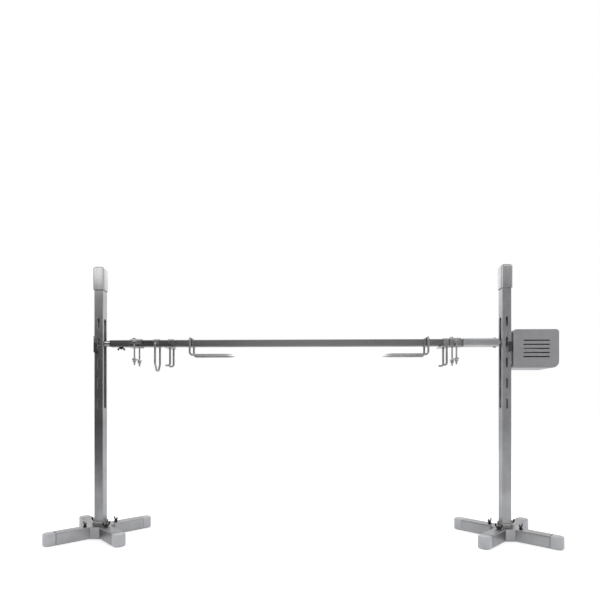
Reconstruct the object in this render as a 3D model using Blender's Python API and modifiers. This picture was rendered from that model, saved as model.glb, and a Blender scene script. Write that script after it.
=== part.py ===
"""Motor-driven spit roaster: two slotted posts on crossed feet, a square spit with its forks and leg holders
between them, and a gear motor in a louvred housing on the right post.

Metres, +Z up. X runs along the spit, -Y is the front, and the origin is on the ground under the middle of the
whole roaster. The left post carries the bearing, the right post the motor; both ride up and down their posts.
"""

import math

import bmesh
import bpy
from mathutils import Matrix, Vector

# ---- Clearances
SEAT = 0.0003  # between pieces that rest on each other
SLIDE = 0.0004  # between a piece and what it slides on, each side
WELD = 0.001  # how far two shapes of one piece run into each other

# ---- Posts
POST_SPACING = 1.805
POST_W = 0.040
POST_WALL = 0.002
POST_CORNER = 0.0025
POST_TOP = 1.185
SLOT_W = 0.010
SLOT_L = 0.045
SLOT_PITCH = 0.090
SLOTS_BELOW = 3  # slots under the one that the spit hangs at
SLOTS_ABOVE = 1
CAP_H = 0.105
CAP_WALL = 0.004
CAP_CROWN = 0.022
CAP_ROUND = 0.012

# ---- Feet
ARM_W = 0.050
ARM_H = 0.052
ARM_WALL = 0.0025
ARM_CORNER = 0.006
ARM_REACH = 0.232  # post axis to the tip of an arm
HUB_FACET = 0.056  # post axis to the hub's flat between two arms
HUB_WALL = 0.004
SPIGOT_L = 0.050
END_CAP_L = 0.045
END_CAP_ROUND = 0.020
END_CAP_BEVEL = 0.006
END_CAP_WALL = 0.003
END_PLUG_L = 0.015
SOCKET_WALL = 0.005
SOCKET_H = 0.018
WING_BOLT_AT = 0.067  # post axis to a wing bolt

# ---- Wing screws
SCREW_R = 0.004
SCREW_PLAY = 0.0004
WING_SPAN = 0.034
WING_H = 0.014
FOOT_WING_H = 0.022
FORK_WING_SPAN = 0.026
SPIT_WING_H = 0.0075  # low, to turn under a fork's rod
WING_T = 0.004
WING_FLANGE_R = 0.008
WING_FLANGE_H = 0.003
FOOT_BOLT_L = 0.012

# ---- Spit
AXIS_Z = 0.864
SPIT_W = 0.030
SPIT_WALL = 0.0025
SPIT_CORNER = 0.003
PLUG_L = 0.060
JOURNAL_R = 0.008
JOURNAL_L = 0.020
SHOULDER_R = 0.0135
SHOULDER_L = 0.004
LOCK_SCREW_AT = 0.0465  # spit's left end to the lock screw
SHAFT_R = 0.009
SHAFT_INSIDE_BOX = 0.036
DRIVE_L = 0.154
DRIVE_TO_POST = 0.014
DRIVE_WALL = 0.0028
DRIVE_BOSS_L = 0.024
SPIT_TO_BOSS = 0.004
CROSS_BOLT_R = 0.003
CROSS_BOLT_HEAD_R = 0.0055
CROSS_BOLT_HEAD_H = 0.0045

# ---- Collars and rods on the spit
COLLAR_WALL = 0.003
ROD_R = 0.0045
LEFT_FORK_AT = 0.366  # spit's left end to the holder, as for the next left ones
RIGHT_FORK_AT = 0.158  # drive socket's open end to the holder, as for the next right ones
FORK_COLLAR_L = 0.024
FORK_GAP = 0.070  # between the two prongs, centre to centre
FORK_DROP = 0.055  # spit axis to the prongs
FORK_PRONG_L = 0.190
FORK_TIP_L = 0.030
LEFT_CLAMP_AT = 0.118
RIGHT_CLAMP_AT = 0.0345
CLAMP_COLLAR_L = 0.050
CLAMP_WALL = 0.0045
STUD_GAP = 0.058
STUD_DROP = 0.099
EAR_L = 0.024
EAR_H = 0.010
BAR_W = 0.018
BAR_T = 0.005
BAR_DROP = 0.075
BAR_OVERHANG = 0.009
BAR_NUT_R = 0.0075
BAR_NUT_H = 0.012
LEFT_HOOK_AT = 0.276
RIGHT_HOOK_AT = 0.0755
HOOK_PLATE_L = 0.036
HOOK_PLATE_T = 0.004
HOOK_GAP = 0.060
HOOK_DROP = 0.100
HOOK_TOE_L = 0.022
LOOP_AT = 0.211
LOOP_COLLAR_L = 0.026
LOOP_GAP = 0.064
LOOP_DROP = 0.126
LOOP_NARROW = 0.026

# ---- Carriages on the posts
SADDLE_T = 0.003
SADDLE_FLANGE = 0.015
BEARING_SADDLE_H = 0.064
MOTOR_SADDLE_BOTTOM = 0.764
MOTOR_SADDLE_TOP = 0.908
SIDE_SLOT_W = 0.0212
CARRIER_R = 0.0094
CARRIER_NUT_R = 0.013
CARRIER_NUT_H = 0.004
CUP_R = 0.0135
CUP_L = 0.022
BUSH_WALL = 0.0012
LEVER_W = 0.011
LEVER_L = 0.045
LEVER_T = 0.008
LEVER_OFFSET = 0.0115  # post axis to the lever's pivot
LEVER_DROP = 0.004  # spit axis down to the lever's pivot
LEVER_PIN_R = 0.003

# ---- Motor housing
BOX_W = 0.197
BOX_BOTTOM = 0.750
BOX_TOP = 0.918
BOX_FRONT = -0.030
BOX_BACK = 0.085
BOX_WALL = 0.002
BOX_ROUND = 0.013
BOX_LOWER_ROUND = 0.028
BOX_EDGE = 0.006
LOUVRES = 5
LOUVRE_PITCH = 0.0178
LOUVRE_H = 0.006
LOUVRE_L = 0.114
LOUVRE_INSET = 0.043  # housing's inner side to the louvres
GEARBOX_L = 0.046
GEARBOX_DEPTH = (-0.022, 0.062)
GEARBOX_HEIGHT = (-0.066, 0.026)  # below and above the spit axis
GEARBOX_BOSS_R = 0.0135
MOTOR_R = 0.025
MOTOR_L = 0.086
MOTOR_BACK = 0.034  # spit axis back to the motor's axis
MOTOR_DROP = 0.030  # spit axis down to the motor's axis
SWITCH_Z = 0.8595
SWITCH_W = 0.022
SWITCH_H = 0.014
SWITCH_PROUD = 0.005
SWITCH_BODY_L = 0.012
SWITCH_LIP = 0.002
INLET_W = 0.030
INLET_H = 0.022
INLET_T = 0.004
INLET_DROP = 0.055
COVER_T = 0.002

# ---- Fineness
ROUND_STEPS = 20
SMALL_STEPS = 12
CORNER_STEPS = 3

# ---- Worked out from the sizes above
POST_HALF = POST_W / 2
WEB_IN = POST_HALF + SLIDE  # post axis to the inner face of a saddle's web
WEB_OUT = WEB_IN + SADDLE_T
BOX_START = WEB_OUT + SEAT
HUB_REACH = HUB_FACET * math.sqrt(2) - ARM_W / 2  # post axis to the face that an arm meets
FOOT_REACH = (ARM_REACH - END_CAP_ROUND + ARM_W / 2 - END_CAP_ROUND) / math.sqrt(2) + END_CAP_ROUND
MIDDLE_X = (FOOT_REACH - BOX_START - BOX_W - SWITCH_PROUD) / 2
TRAVEL_DOWN = SLOTS_BELOW * SLOT_PITCH
TRAVEL_UP = SLOTS_ABOVE * SLOT_PITCH
SPIT_HALF = SPIT_W / 2
SPIT_LEFT = -POST_SPACING / 2 + POST_HALF + SEAT + CUP_L + SLIDE + SHOULDER_L + SEAT
DRIVE_RIGHT = POST_SPACING / 2 - POST_HALF - DRIVE_TO_POST
DRIVE_LEFT = DRIVE_RIGHT - DRIVE_L
SPIT_RIGHT = DRIVE_RIGHT - DRIVE_BOSS_L - SPIT_TO_BOSS
LOCK_SCREW_X = SPIT_LEFT + LOCK_SCREW_AT
COLLAR_BORE = SPIT_W + 2 * SLIDE

COLLECTION = "Spit roaster"
CUTTERS = "Cutters"


# ---------------------------------------------------------------- scene, materials and placing


def clear_scene():
    for obj in list(bpy.data.objects):
        bpy.data.objects.remove(obj, do_unlink=True)


def collection(name):
    found = bpy.data.collections.get(name)
    if found is None:
        found = bpy.data.collections.new(name)
        bpy.context.scene.collection.children.link(found)
    return found


def material(name, colour, roughness, metallic):
    found = bpy.data.materials.get(name)
    if found is None:
        found = bpy.data.materials.new(name)
        found.use_nodes = True
        shader = found.node_tree.nodes["Principled BSDF"]
        shader.inputs["Base Color"].default_value = (*colour, 1)
        shader.inputs["Roughness"].default_value = roughness
        shader.inputs["Metallic"].default_value = metallic
    return found


def steel():
    return material("Brushed stainless steel", (0.56, 0.56, 0.55), 0.32, 1.0)


def spit_steel():
    return material("Spit steel", (0.33, 0.33, 0.33), 0.38, 1.0)


def zinc():
    return material("Zinc plated fasteners", (0.42, 0.42, 0.40), 0.35, 1.0)


def silver_plastic():
    return material("Silver grey plastic", (0.52, 0.52, 0.52), 0.45, 0.0)


def housing_paint():
    return material("Grey housing steel", (0.36, 0.35, 0.36), 0.42, 0.6)


def black_plastic():
    return material("Black plastic", (0.02, 0.02, 0.02), 0.5, 0.0)


def bronze():
    return material("Bearing bronze", (0.48, 0.30, 0.12), 0.4, 1.0)


def cast_metal():
    return material("Cast aluminium", (0.40, 0.40, 0.41), 0.55, 1.0)


def add(name, data, helper=False):
    """A new object of this mesh or curve, in the cutters' collection if it only helps to shape another."""
    obj = bpy.data.objects.new(name, data)
    collection(CUTTERS if helper else COLLECTION).objects.link(obj)
    obj.hide_render = helper
    if helper:
        obj.display_type = "WIRE"
    return obj


def empty(name, location, parent=None):
    obj = add(name, None)
    obj.empty_display_size = 0.05
    obj.location = location
    obj.parent = parent
    return obj


def place(obj, parent, location=(0, 0, 0), rotation=(0, 0, 0)):
    obj.parent = parent
    obj.location = location
    obj.rotation_euler = rotation
    return obj


def finish(obj, look):
    """Gives a piece its material, and smooth shading with its sharp edges kept."""
    obj.data.materials.clear()
    obj.data.materials.append(look)
    if obj.type == "MESH":
        obj.data.shade_smooth()
        obj.data.set_sharp_from_angle(angle=math.radians(35))
    return obj


def twin(obj, name):
    """A second object that shares this one's mesh."""
    return add(name, obj.data)


def baked(obj):
    """The object with its modifiers applied to its mesh."""
    bpy.context.view_layer.update()
    graph = bpy.context.evaluated_depsgraph_get()
    mesh = bpy.data.meshes.new_from_object(obj.evaluated_get(graph))
    mesh.name = obj.name
    obj.modifiers.clear()
    obj.data = mesh
    return obj


# ---------------------------------------------------------------- shapes


def mesh_of(name, build, turn=None):
    """A mesh filled by build(bmesh), then turned by a matrix."""
    mesh = bpy.data.meshes.new(name)
    bm = bmesh.new()
    build(bm)
    if turn is not None:
        bmesh.ops.transform(bm, matrix=turn, verts=bm.verts)
    bm.to_mesh(mesh)
    bm.free()
    return mesh


def block(name, low, high, helper=False):
    """A box between two corners."""
    size = Vector(high) - Vector(low)
    middle = (Vector(high) + Vector(low)) / 2
    scale = Matrix.Translation(middle) @ Matrix.Diagonal((*size, 1))
    return add(name, mesh_of(name, lambda bm: bmesh.ops.create_cube(bm, size=1), scale), helper)


def rod(name, radius, start, end, helper=False, steps=SMALL_STEPS):
    """A cylinder from one point to another."""
    start, end = Vector(start), Vector(end)
    along = end - start
    turn = Matrix.Translation((start + end) / 2) @ Vector((0, 0, 1)).rotation_difference(along).to_matrix().to_4x4()

    def build(bm):
        bmesh.ops.create_cone(
            bm, cap_ends=True, segments=steps, radius1=radius, radius2=radius, depth=along.length
        )

    return add(name, mesh_of(name, build, turn), helper)


def rounded(width, height, radii, steps=CORNER_STEPS, centre=(0, 0)):
    """Outline of a rectangle whose corners are arcs, from the upper right one anticlockwise."""
    if not isinstance(radii, (list, tuple)):
        radii = [radii] * 4
    points = []
    for (sx, sy), radius, first in zip(((1, 1), (-1, 1), (-1, -1), (1, -1)), radii, (0, 90, 180, 270)):
        x = centre[0] + sx * (width / 2 - radius)
        y = centre[1] + sy * (height / 2 - radius)
        for i in range(steps + 1):
            angle = math.radians(first + 90 * i / steps)
            points.append((x + radius * math.cos(angle), y + radius * math.sin(angle)))
    return points


# Matrices that stand an outline drawn in X and Y up along another axis.
ALONG_X = Matrix(((0, 0, 1, 0), (1, 0, 0, 0), (0, 1, 0, 0), (0, 0, 0, 1)))  # outline in Y and Z
ALONG_Y = Matrix(((1, 0, 0, 0), (0, 0, -1, 0), (0, 1, 0, 0), (0, 0, 0, 1)))  # outline in X and Z


def prism(name, outlines, low, high, turn=None, helper=False):
    """Closed outlines, the inner ones holes, extruded from low to high along Z, then turned."""
    curve = bpy.data.curves.new(name, "CURVE")
    curve.dimensions = "2D"
    curve.fill_mode = "BOTH"
    curve.extrude = (high - low) / 2
    for outline in outlines:
        spline = curve.splines.new("POLY")
        spline.points.add(len(outline) - 1)
        for point, (x, y) in zip(spline.points, outline):
            point.co = (x, y, 0, 1)
        spline.use_cyclic_u = True
    obj = meshed(add(name, curve, helper))
    move = Matrix.Translation((0, 0, (high + low) / 2))
    obj.data.transform(move if turn is None else turn @ move)
    return obj


def meshed(curve_object):
    """The curve object made a mesh with its caps welded."""
    name = curve_object.name
    helper = curve_object.hide_render
    bpy.context.view_layer.update()
    graph = bpy.context.evaluated_depsgraph_get()
    mesh = bpy.data.meshes.new_from_object(curve_object.evaluated_get(graph))
    bpy.data.objects.remove(curve_object, do_unlink=True)
    bm = bmesh.new()
    bm.from_mesh(mesh)
    bmesh.ops.remove_doubles(bm, verts=bm.verts, dist=1e-5)
    bmesh.ops.recalc_face_normals(bm, faces=bm.faces)
    bm.to_mesh(mesh)
    bm.free()
    mesh.name = name
    return add(name, mesh, helper)


def turned(name, profile, steps=ROUND_STEPS, axis="Z", helper=False, closed=False):
    """A profile of (radius, height) points, listed down its outer side, turned about its axis."""
    mesh = bpy.data.meshes.new(name)
    count = len(profile)
    edges = [(i, i + 1) for i in range(count - 1)]
    if closed:
        edges.append((count - 1, 0))
    mesh.from_pydata([(r, 0, z) for r, z in profile], edges, [])
    obj = add(name, mesh, helper)
    screw = obj.modifiers.new("Turn", "SCREW")
    screw.axis = "Z"
    screw.steps = screw.render_steps = steps
    screw.use_merge_vertices = True
    screw.merge_threshold = 1e-5
    obj = baked(obj)
    if axis == "X":
        obj.data.transform(Matrix.Rotation(math.pi / 2, 4, "Y"))
    if axis == "Y":
        obj.data.transform(Matrix.Rotation(-math.pi / 2, 4, "X"))
    return obj


def bent_route(corners, radius, steps=4):
    """A route through these corners in which each inner one is an arc of this radius."""
    corners = [Vector(c) for c in corners]
    route = [corners[0]]
    for before, corner, after in zip(corners, corners[1:], corners[2:]):
        back = (before - corner).normalized()
        ahead = (after - corner).normalized()
        half = back.angle(ahead) / 2
        reach = radius / math.tan(half)
        centre = corner + (back + ahead).normalized() * radius / math.sin(half)
        first = corner + back * reach - centre
        last = corner + ahead * reach - centre
        for i in range(steps + 1):
            route.append(centre + radius * first.slerp(last, i / steps))
    route.append(corners[-1])
    return route


def bent_rod(name, route, radius, tip=0.0, helper=False):
    """A round rod along a route. Its two ends taper to points over the length tip."""
    if tip:
        first = route[0] + (route[1] - route[0]).normalized() * tip
        last = route[-1] + (route[-2] - route[-1]).normalized() * tip
        route = [route[0], first, *route[1:-1], last, route[-1]]
    curve = bpy.data.curves.new(name, "CURVE")
    curve.dimensions = "3D"
    curve.bevel_depth = radius
    curve.bevel_resolution = 2
    curve.use_fill_caps = True
    curve.twist_mode = "MINIMUM"
    spline = curve.splines.new("POLY")
    spline.points.add(len(route) - 1)
    for point, at in zip(spline.points, route):
        point.co = (*at, 1)
        point.radius = 1
    if tip:
        spline.points[0].radius = spline.points[-1].radius = 0.2
    return meshed(add(name, curve, helper))


def boolean(obj, other, operation):
    modifier = obj.modifiers.new(other.name, "BOOLEAN")
    modifier.operation = operation
    modifier.solver = "EXACT"
    modifier.object = other
    other.parent = obj
    return obj


def cut(obj, *others):
    for other in others:
        boolean(obj, other, "DIFFERENCE")
    return obj


def join(obj, *others):
    for other in others:
        boolean(obj, other, "UNION")
    return obj


def bevel(obj, width, segments=2, angle=50):
    modifier = obj.modifiers.new("Bevel", "BEVEL")
    modifier.width = width
    modifier.segments = segments
    modifier.limit_method = "ANGLE"
    modifier.angle_limit = math.radians(angle)
    return obj


# ---------------------------------------------------------------- feet


def spigot_size():
    """Width, and lowest and highest Z, of what slides into an arm."""
    return ARM_W - 2 * (ARM_WALL + SLIDE), ARM_WALL + SLIDE, ARM_H - ARM_WALL - SLIDE


def spigot(name, start, end):
    """A bar with the section of an arm's inside, between two distances from the post's axis."""
    width, low, high = spigot_size()
    outline = rounded(width, high - low, ARM_CORNER - ARM_WALL, centre=(0, ARM_H / 2))
    return prism(name, [outline], start, end, ALONG_X, helper=True)


def hub_outline():
    """Eight sides: the four that the arms meet, on the diagonals, and a facet between each two."""
    corners = []
    for turn in range(4):
        direction = Matrix.Rotation(math.radians(45 + 90 * turn), 2)
        for side in (-1, 1):
            corners.append(tuple(direction @ Vector((HUB_REACH, side * ARM_W / 2))))
    return corners


def arm_hub(name):
    """The centre of a foot, open below: a block with a spigot for each arm, and a socket for the post."""
    width, low, high = spigot_size()
    hub = prism(name, [hub_outline()], 0, ARM_H)
    reach = HUB_REACH + SPIGOT_L
    for turn in (45, -45):
        spin = Matrix.Rotation(math.radians(turn), 4, "Z")
        bar = spigot(f"{name} spigots {turn}", -reach, reach)
        bar.data.transform(spin)
        join(hub, bar)
    top = ARM_H + SOCKET_H
    inner = POST_W + 2 * SLIDE
    outer = inner + 2 * SOCKET_WALL
    collar = prism(
        f"{name} socket",
        [rounded(outer, outer, POST_CORNER + SOCKET_WALL), rounded(inner, inner, POST_CORNER)],
        ARM_H - WELD,
        top,
        helper=True,
    )
    join(hub, collar)
    roof = high - HUB_WALL
    for turn in (45, -45):
        spin = Matrix.Rotation(math.radians(turn), 4, "Z")
        hollow = width / 2 - HUB_WALL
        open_end = reach + WELD
        pocket = block(f"{name} hollow {turn}", (-open_end, -hollow, -WELD), (open_end, hollow, roof), helper=True)
        pocket.data.transform(spin)
        cut(hub, pocket)
    for turn in range(4):
        direction = Matrix.Rotation(math.radians(45 + 90 * turn), 2)
        x, y = direction @ Vector((WING_BOLT_AT, 0))
        hole = SCREW_R + SCREW_PLAY
        cut(hub, rod(f"{name} bolt hole {turn}", hole, (x, y, roof - WELD), (x, y, ARM_H), helper=True))
    return finish(baked(hub), steel())


def foot_arm(name):
    """A square tube that slips over a spigot, with a hole on top for its wing bolt."""
    inner_w, inner_h = ARM_W - 2 * ARM_WALL, ARM_H - 2 * ARM_WALL
    middle = (0, ARM_H / 2)
    arm = prism(
        name,
        [
            rounded(ARM_W, ARM_H, ARM_CORNER, centre=middle),
            rounded(inner_w, inner_h, ARM_CORNER - ARM_WALL, centre=middle),
        ],
        HUB_REACH + SEAT,
        ARM_REACH - END_CAP_L - SEAT,
        ALONG_X,
    )
    top = ARM_H + WELD
    hole = rod(
        f"{name} hole",
        SCREW_R + SCREW_PLAY,
        (WING_BOLT_AT, 0, ARM_H - ARM_WALL - WELD),
        (WING_BOLT_AT, 0, top),
        helper=True,
    )
    return finish(baked(cut(arm, hole)), steel())


def arm_end_cap(name):
    """A rounded cup that closes an arm, with a plug that goes inside the tube."""
    width, low, high = spigot_size()
    start, end = ARM_REACH - END_CAP_L, ARM_REACH
    corner = ARM_CORNER / 3
    cap = prism(
        name,
        [rounded(END_CAP_L, ARM_W, [END_CAP_ROUND, corner, corner, END_CAP_ROUND], 4, ((start + end) / 2, 0))],
        0,
        ARM_H,
    )
    bevel(cap, END_CAP_BEVEL, 2, 60)
    plug = spigot(f"{name} plug", start - END_PLUG_L, start + WELD)
    hollow = block(
        f"{name} hollow",
        (start - END_PLUG_L - WELD, END_CAP_WALL - width / 2, low + END_CAP_WALL),
        (end - END_CAP_ROUND, width / 2 - END_CAP_WALL, high - END_CAP_WALL),
        helper=True,
    )
    return finish(baked(cut(join(cap, plug), hollow)), silver_plastic())


def wing_screw(name, length, span, height):
    """A wing screw that points down from the origin, where its flange sits."""
    core_r = WING_FLANGE_R * 0.7
    core_top = WING_FLANGE_H + height * 0.5
    body = turned(
        name,
        [
            (0, core_top),
            (core_r * 0.8, core_top),
            (core_r, WING_FLANGE_H),
            (WING_FLANGE_R, WING_FLANGE_H),
            (WING_FLANGE_R, 0),
            (SCREW_R, 0),
            (SCREW_R, -length),
            (0, -length),
        ],
        SMALL_STEPS,
    )
    wings = prism(f"{name} wings", [wing_outline(span, height)], -WING_T / 2, WING_T / 2, ALONG_Y, helper=True)
    return finish(baked(join(body, wings)), zinc())


def wing_outline(span, height):
    """Two raised lobes joined by a low bar, drawn anticlockwise from the lower left."""
    half = span / 2
    lobe = span * 0.17
    base = WING_FLANGE_H * 0.5
    top = WING_FLANGE_H + height
    points = [(-half * 0.55, base), (half * 0.55, base)]
    for side in (1, -1):
        centre = (side * (half - lobe), top - lobe)
        for i in range(7):
            angle = math.radians(-30 + 35 * i) if side > 0 else math.radians(0 + 35 * i)
            points.append((centre[0] + lobe * math.cos(angle), centre[1] + lobe * math.sin(angle)))
    return points


def feet(side, stand):
    """The hub, four arms, their end caps and wing bolts of one stand."""
    place(arm_hub(f"{side}_hub"), stand)
    arm = cap = bolt = None
    for label, angle in (("front_right", -45), ("back_right", 45), ("back_left", 135), ("front_left", -135)):
        turn = math.radians(angle)
        arm = twin(arm, f"{side}_{label}_arm") if arm else foot_arm(f"{side}_{label}_arm")
        cap = twin(cap, f"{side}_{label}_end_cap") if cap else arm_end_cap(f"{side}_{label}_end_cap")
        name = f"{side}_{label}_wing_bolt"
        bolt = twin(bolt, name) if bolt else wing_screw(name, FOOT_BOLT_L, WING_SPAN, FOOT_WING_H)
        place(arm, stand, rotation=(0, 0, turn))
        place(cap, stand, rotation=(0, 0, turn))
        at = (WING_BOLT_AT * math.cos(turn), WING_BOLT_AT * math.sin(turn), ARM_H + SEAT)
        place(bolt, stand, at, (0, 0, turn + math.pi / 2))


# ---------------------------------------------------------------- posts


def post(name):
    """A square tube with a row of slots through its front and back, and one long slot through its sides."""
    inner = POST_W - 2 * POST_WALL
    tube = prism(
        name,
        [rounded(POST_W, POST_W, POST_CORNER), rounded(inner, inner, POST_CORNER - POST_WALL)],
        ARM_H + SEAT,
        POST_TOP,
    )
    heights = [AXIS_Z + SLOT_PITCH * i for i in range(-SLOTS_BELOW, SLOTS_ABOVE + 1)]
    slots = prism(
        f"{name} slots",
        [rounded(SLOT_W, SLOT_L, SLOT_W * 0.499, 4, (0, z)) for z in heights],
        -POST_W,
        POST_W,
        ALONG_Y,
        helper=True,
    )
    low = AXIS_Z - TRAVEL_DOWN - SIDE_SLOT_W
    high = AXIS_Z + TRAVEL_UP + SIDE_SLOT_W
    side_slot = prism(
        f"{name} side slot",
        [rounded(SIDE_SLOT_W, high - low, SIDE_SLOT_W * 0.499, 5, (0, (low + high) / 2))],
        -POST_W,
        POST_W,
        ALONG_X,
        helper=True,
    )
    return finish(baked(cut(tube, slots, side_slot)), steel())


def post_cap(name):
    """A sleeve over the top of the post, closed by a rounded crown."""
    bore = POST_W + 2 * SLIDE
    outer = bore + 2 * CAP_WALL
    top = POST_TOP + CAP_CROWN
    cap = prism(name, [rounded(outer, outer, POST_CORNER + CAP_WALL)], top - CAP_H, top)
    crown = cap.modifiers.new("Crown", "BEVEL")
    crown.width = CAP_ROUND
    crown.segments = 3
    crown.limit_method = "VGROUP"
    crown.vertex_group = cap.vertex_groups.new(name="crown").name
    upper = [v.index for v in cap.data.vertices if v.co.z > top - WELD]
    cap.vertex_groups["crown"].add(upper, 1, "REPLACE")
    hollow = prism(
        f"{name} hollow", [rounded(bore, bore, POST_CORNER)], top - CAP_H - WELD, POST_TOP + SEAT, helper=True
    )
    return finish(baked(cut(cap, hollow)), steel())


# ---------------------------------------------------------------- carriages


def saddle_outline(outward):
    """A U of sheet round the outer side of a post, open towards the spit."""
    inner_r = POST_CORNER * 0.8
    outer_r = inner_r + SADDLE_T
    lip = POST_HALF - SADDLE_FLANGE
    points = [(lip, -WEB_OUT)]
    for sy in (-1, 1):
        for i in range(CORNER_STEPS + 1):
            angle = math.radians((-90 if sy < 0 else 0) + 90 * i / CORNER_STEPS)
            x = WEB_OUT - outer_r + outer_r * math.cos(angle)
            points.append((x, sy * (WEB_OUT - outer_r) + outer_r * math.sin(angle)))
    points += [(lip, WEB_OUT), (lip, WEB_IN)]
    for sy in (1, -1):
        for i in range(CORNER_STEPS + 1):
            angle = math.radians((90 if sy > 0 else 0) - 90 * i / CORNER_STEPS)
            x = WEB_IN - inner_r + inner_r * math.cos(angle)
            points.append((x, sy * (WEB_IN - inner_r) + inner_r * math.sin(angle)))
    points.append((lip, -WEB_IN))
    return [(outward * x, y) for x, y in points]


def saddle(name, outward, low, high, hole_r):
    """The sheet U that rides on a post between two heights, bored for the shaft and for its lever's pin."""
    plate = prism(name, [saddle_outline(outward)], low, high)
    shaft_hole = rod(f"{name} shaft hole", hole_r, (0, 0, 0), (2 * outward * WEB_OUT, 0, 0), helper=True)
    x, z = outward * LEVER_OFFSET, -LEVER_DROP
    pin_hole = rod(
        f"{name} pin hole",
        LEVER_PIN_R + SCREW_PLAY,
        (x, -WEB_OUT - WELD, z),
        (x, -POST_HALF, z),
        helper=True,
    )
    return finish(baked(cut(plate, shaft_hole, pin_hole)), steel())


def lock_lever(name):
    """A flat handle that hangs from the clamp pin, which presses on the post through the saddle."""
    front = -LEVER_T - WELD
    handle = prism(
        name,
        [rounded(LEVER_W, LEVER_L, LEVER_W * 0.499, 5, (0, LEVER_W / 2 - LEVER_L / 2))],
        -LEVER_T / 2,
        LEVER_T / 2,
        Matrix.Translation((0, front + LEVER_T / 2, 0)) @ ALONG_Y,
    )
    bevel(handle, LEVER_W * 0.12, 2, 60)
    pin = rod(f"{name} pin", LEVER_PIN_R, (0, front + WELD, 0), (0, SADDLE_T + SEAT, 0), helper=True)
    boss = rod(f"{name} boss", LEVER_W * 0.42, (0, -2 * WELD, 0), (0, -SEAT, 0), helper=True)
    return finish(baked(join(handle, pin, boss)), black_plastic())


def bearing_carrier(name):
    """Turned carrier through the left post: a nut outside the saddle, a tube, and the cup for the bush."""
    nut_in = -WEB_OUT - SEAT
    cup_start = POST_HALF + SEAT
    cup_end = cup_start + CUP_L
    bore_r = JOURNAL_R + SLIDE + BUSH_WALL + SLIDE
    profile = [
        (0, cup_end - JOURNAL_L),
        (bore_r, cup_end - JOURNAL_L),
        (bore_r, cup_end),
        (CUP_R, cup_end),
        (CUP_R, cup_start),
        (CARRIER_R, cup_start),
        (CARRIER_R, nut_in),
        (CARRIER_NUT_R, nut_in),
        (CARRIER_NUT_R, nut_in - CARRIER_NUT_H),
        (0, nut_in - CARRIER_NUT_H),
    ]
    return finish(turned(name, profile, ROUND_STEPS, "X"), zinc())


def bearing_bush(name):
    """The bronze liner of the cup."""
    cup_end = POST_HALF + SEAT + CUP_L
    inside = JOURNAL_R + SLIDE
    start = cup_end - JOURNAL_L + SLIDE
    profile = [(inside + BUSH_WALL, cup_end), (inside + BUSH_WALL, start), (inside, start), (inside, cup_end)]
    return finish(turned(name, profile, ROUND_STEPS, "X", closed=True), bronze())


# ---------------------------------------------------------------- motor housing


def box_outline(inset=0.0):
    """The housing seen from the front, with a larger lower outer corner."""
    width = BOX_W - 2 * inset
    height = BOX_TOP - BOX_BOTTOM - 2 * inset
    middle = (BOX_START + BOX_W / 2, (BOX_TOP + BOX_BOTTOM) / 2 - AXIS_Z)
    radii = [BOX_ROUND - inset, BOX_ROUND - inset, BOX_ROUND - inset, BOX_LOWER_ROUND - inset]
    return rounded(width, height, radii, 4, middle)


def motor_housing(name):
    """A drawn shell, open at the back, with louvres in front and holes for the shaft and the switch."""
    shell = prism(name, [box_outline()], -BOX_BACK, -BOX_FRONT, ALONG_Y)
    rim = shell.vertex_groups.new(name="front edge")
    rim.add([v.index for v in shell.data.vertices if v.co.y < BOX_FRONT + WELD], 1, "REPLACE")
    edge = shell.modifiers.new("Front edge", "BEVEL")
    edge.width = BOX_EDGE
    edge.segments = 2
    edge.limit_method = "VGROUP"
    edge.vertex_group = rim.name
    hollow = prism(
        f"{name} hollow", [box_outline(BOX_WALL)], -BOX_BACK - WELD, -BOX_FRONT - BOX_EDGE / 2, ALONG_Y, helper=True
    )
    left = BOX_START + LOUVRE_INSET
    middle_z = (BOX_TOP + BOX_BOTTOM) / 2 - AXIS_Z
    rows = [middle_z + LOUVRE_PITCH * (i - (LOUVRES - 1) / 2) for i in range(LOUVRES)]
    louvres = prism(
        f"{name} louvres",
        [rounded(LOUVRE_L, LOUVRE_H, LOUVRE_H * 0.499, 3, (left + LOUVRE_L / 2, z)) for z in rows],
        0,
        -2 * BOX_FRONT,
        ALONG_Y,
        helper=True,
    )
    shaft_hole = rod(
        f"{name} shaft hole",
        GEARBOX_BOSS_R + 2 * SLIDE,
        (BOX_START - BOX_WALL, 0, 0),
        (BOX_START + 2 * BOX_WALL, 0, 0),
        helper=True,
        steps=ROUND_STEPS,
    )
    y, z = switch_centre()
    right = BOX_START + BOX_W
    switch_hole = block(
        f"{name} switch hole",
        (right - 2 * BOX_WALL, y - SWITCH_W / 2 - SLIDE, z - SWITCH_H / 2 - SLIDE),
        (right + BOX_WALL, y + SWITCH_W / 2 + SLIDE, z + SWITCH_H / 2 + SLIDE),
        helper=True,
    )
    return finish(baked(cut(shell, hollow, louvres, shaft_hole, switch_hole)), housing_paint())


def switch_centre():
    """Y and Z of the rocker on the housing's outer side."""
    return (BOX_FRONT + BOX_BACK) / 2 - 0.5 * SWITCH_W, SWITCH_Z - AXIS_Z


def back_cover(name):
    """The plate that closes the housing, with a hole for the power inlet."""
    plate = prism(name, [box_outline()], -BOX_BACK - SEAT - COVER_T, -BOX_BACK - SEAT, ALONG_Y)
    x, z = inlet_centre()
    half_w, half_h = INLET_W / 2 + SLIDE, INLET_H / 2 + SLIDE
    back = BOX_BACK + SEAT + COVER_T
    hole = block(
        f"{name} inlet hole",
        (x - half_w, BOX_BACK - WELD, z - half_h),
        (x + half_w, back + WELD, z + half_h),
        helper=True,
    )
    return finish(baked(cut(plate, hole)), housing_paint())


def inlet_centre():
    """X and Z of the power inlet in the back cover."""
    return BOX_START + BOX_W * 0.72, -INLET_DROP


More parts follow.
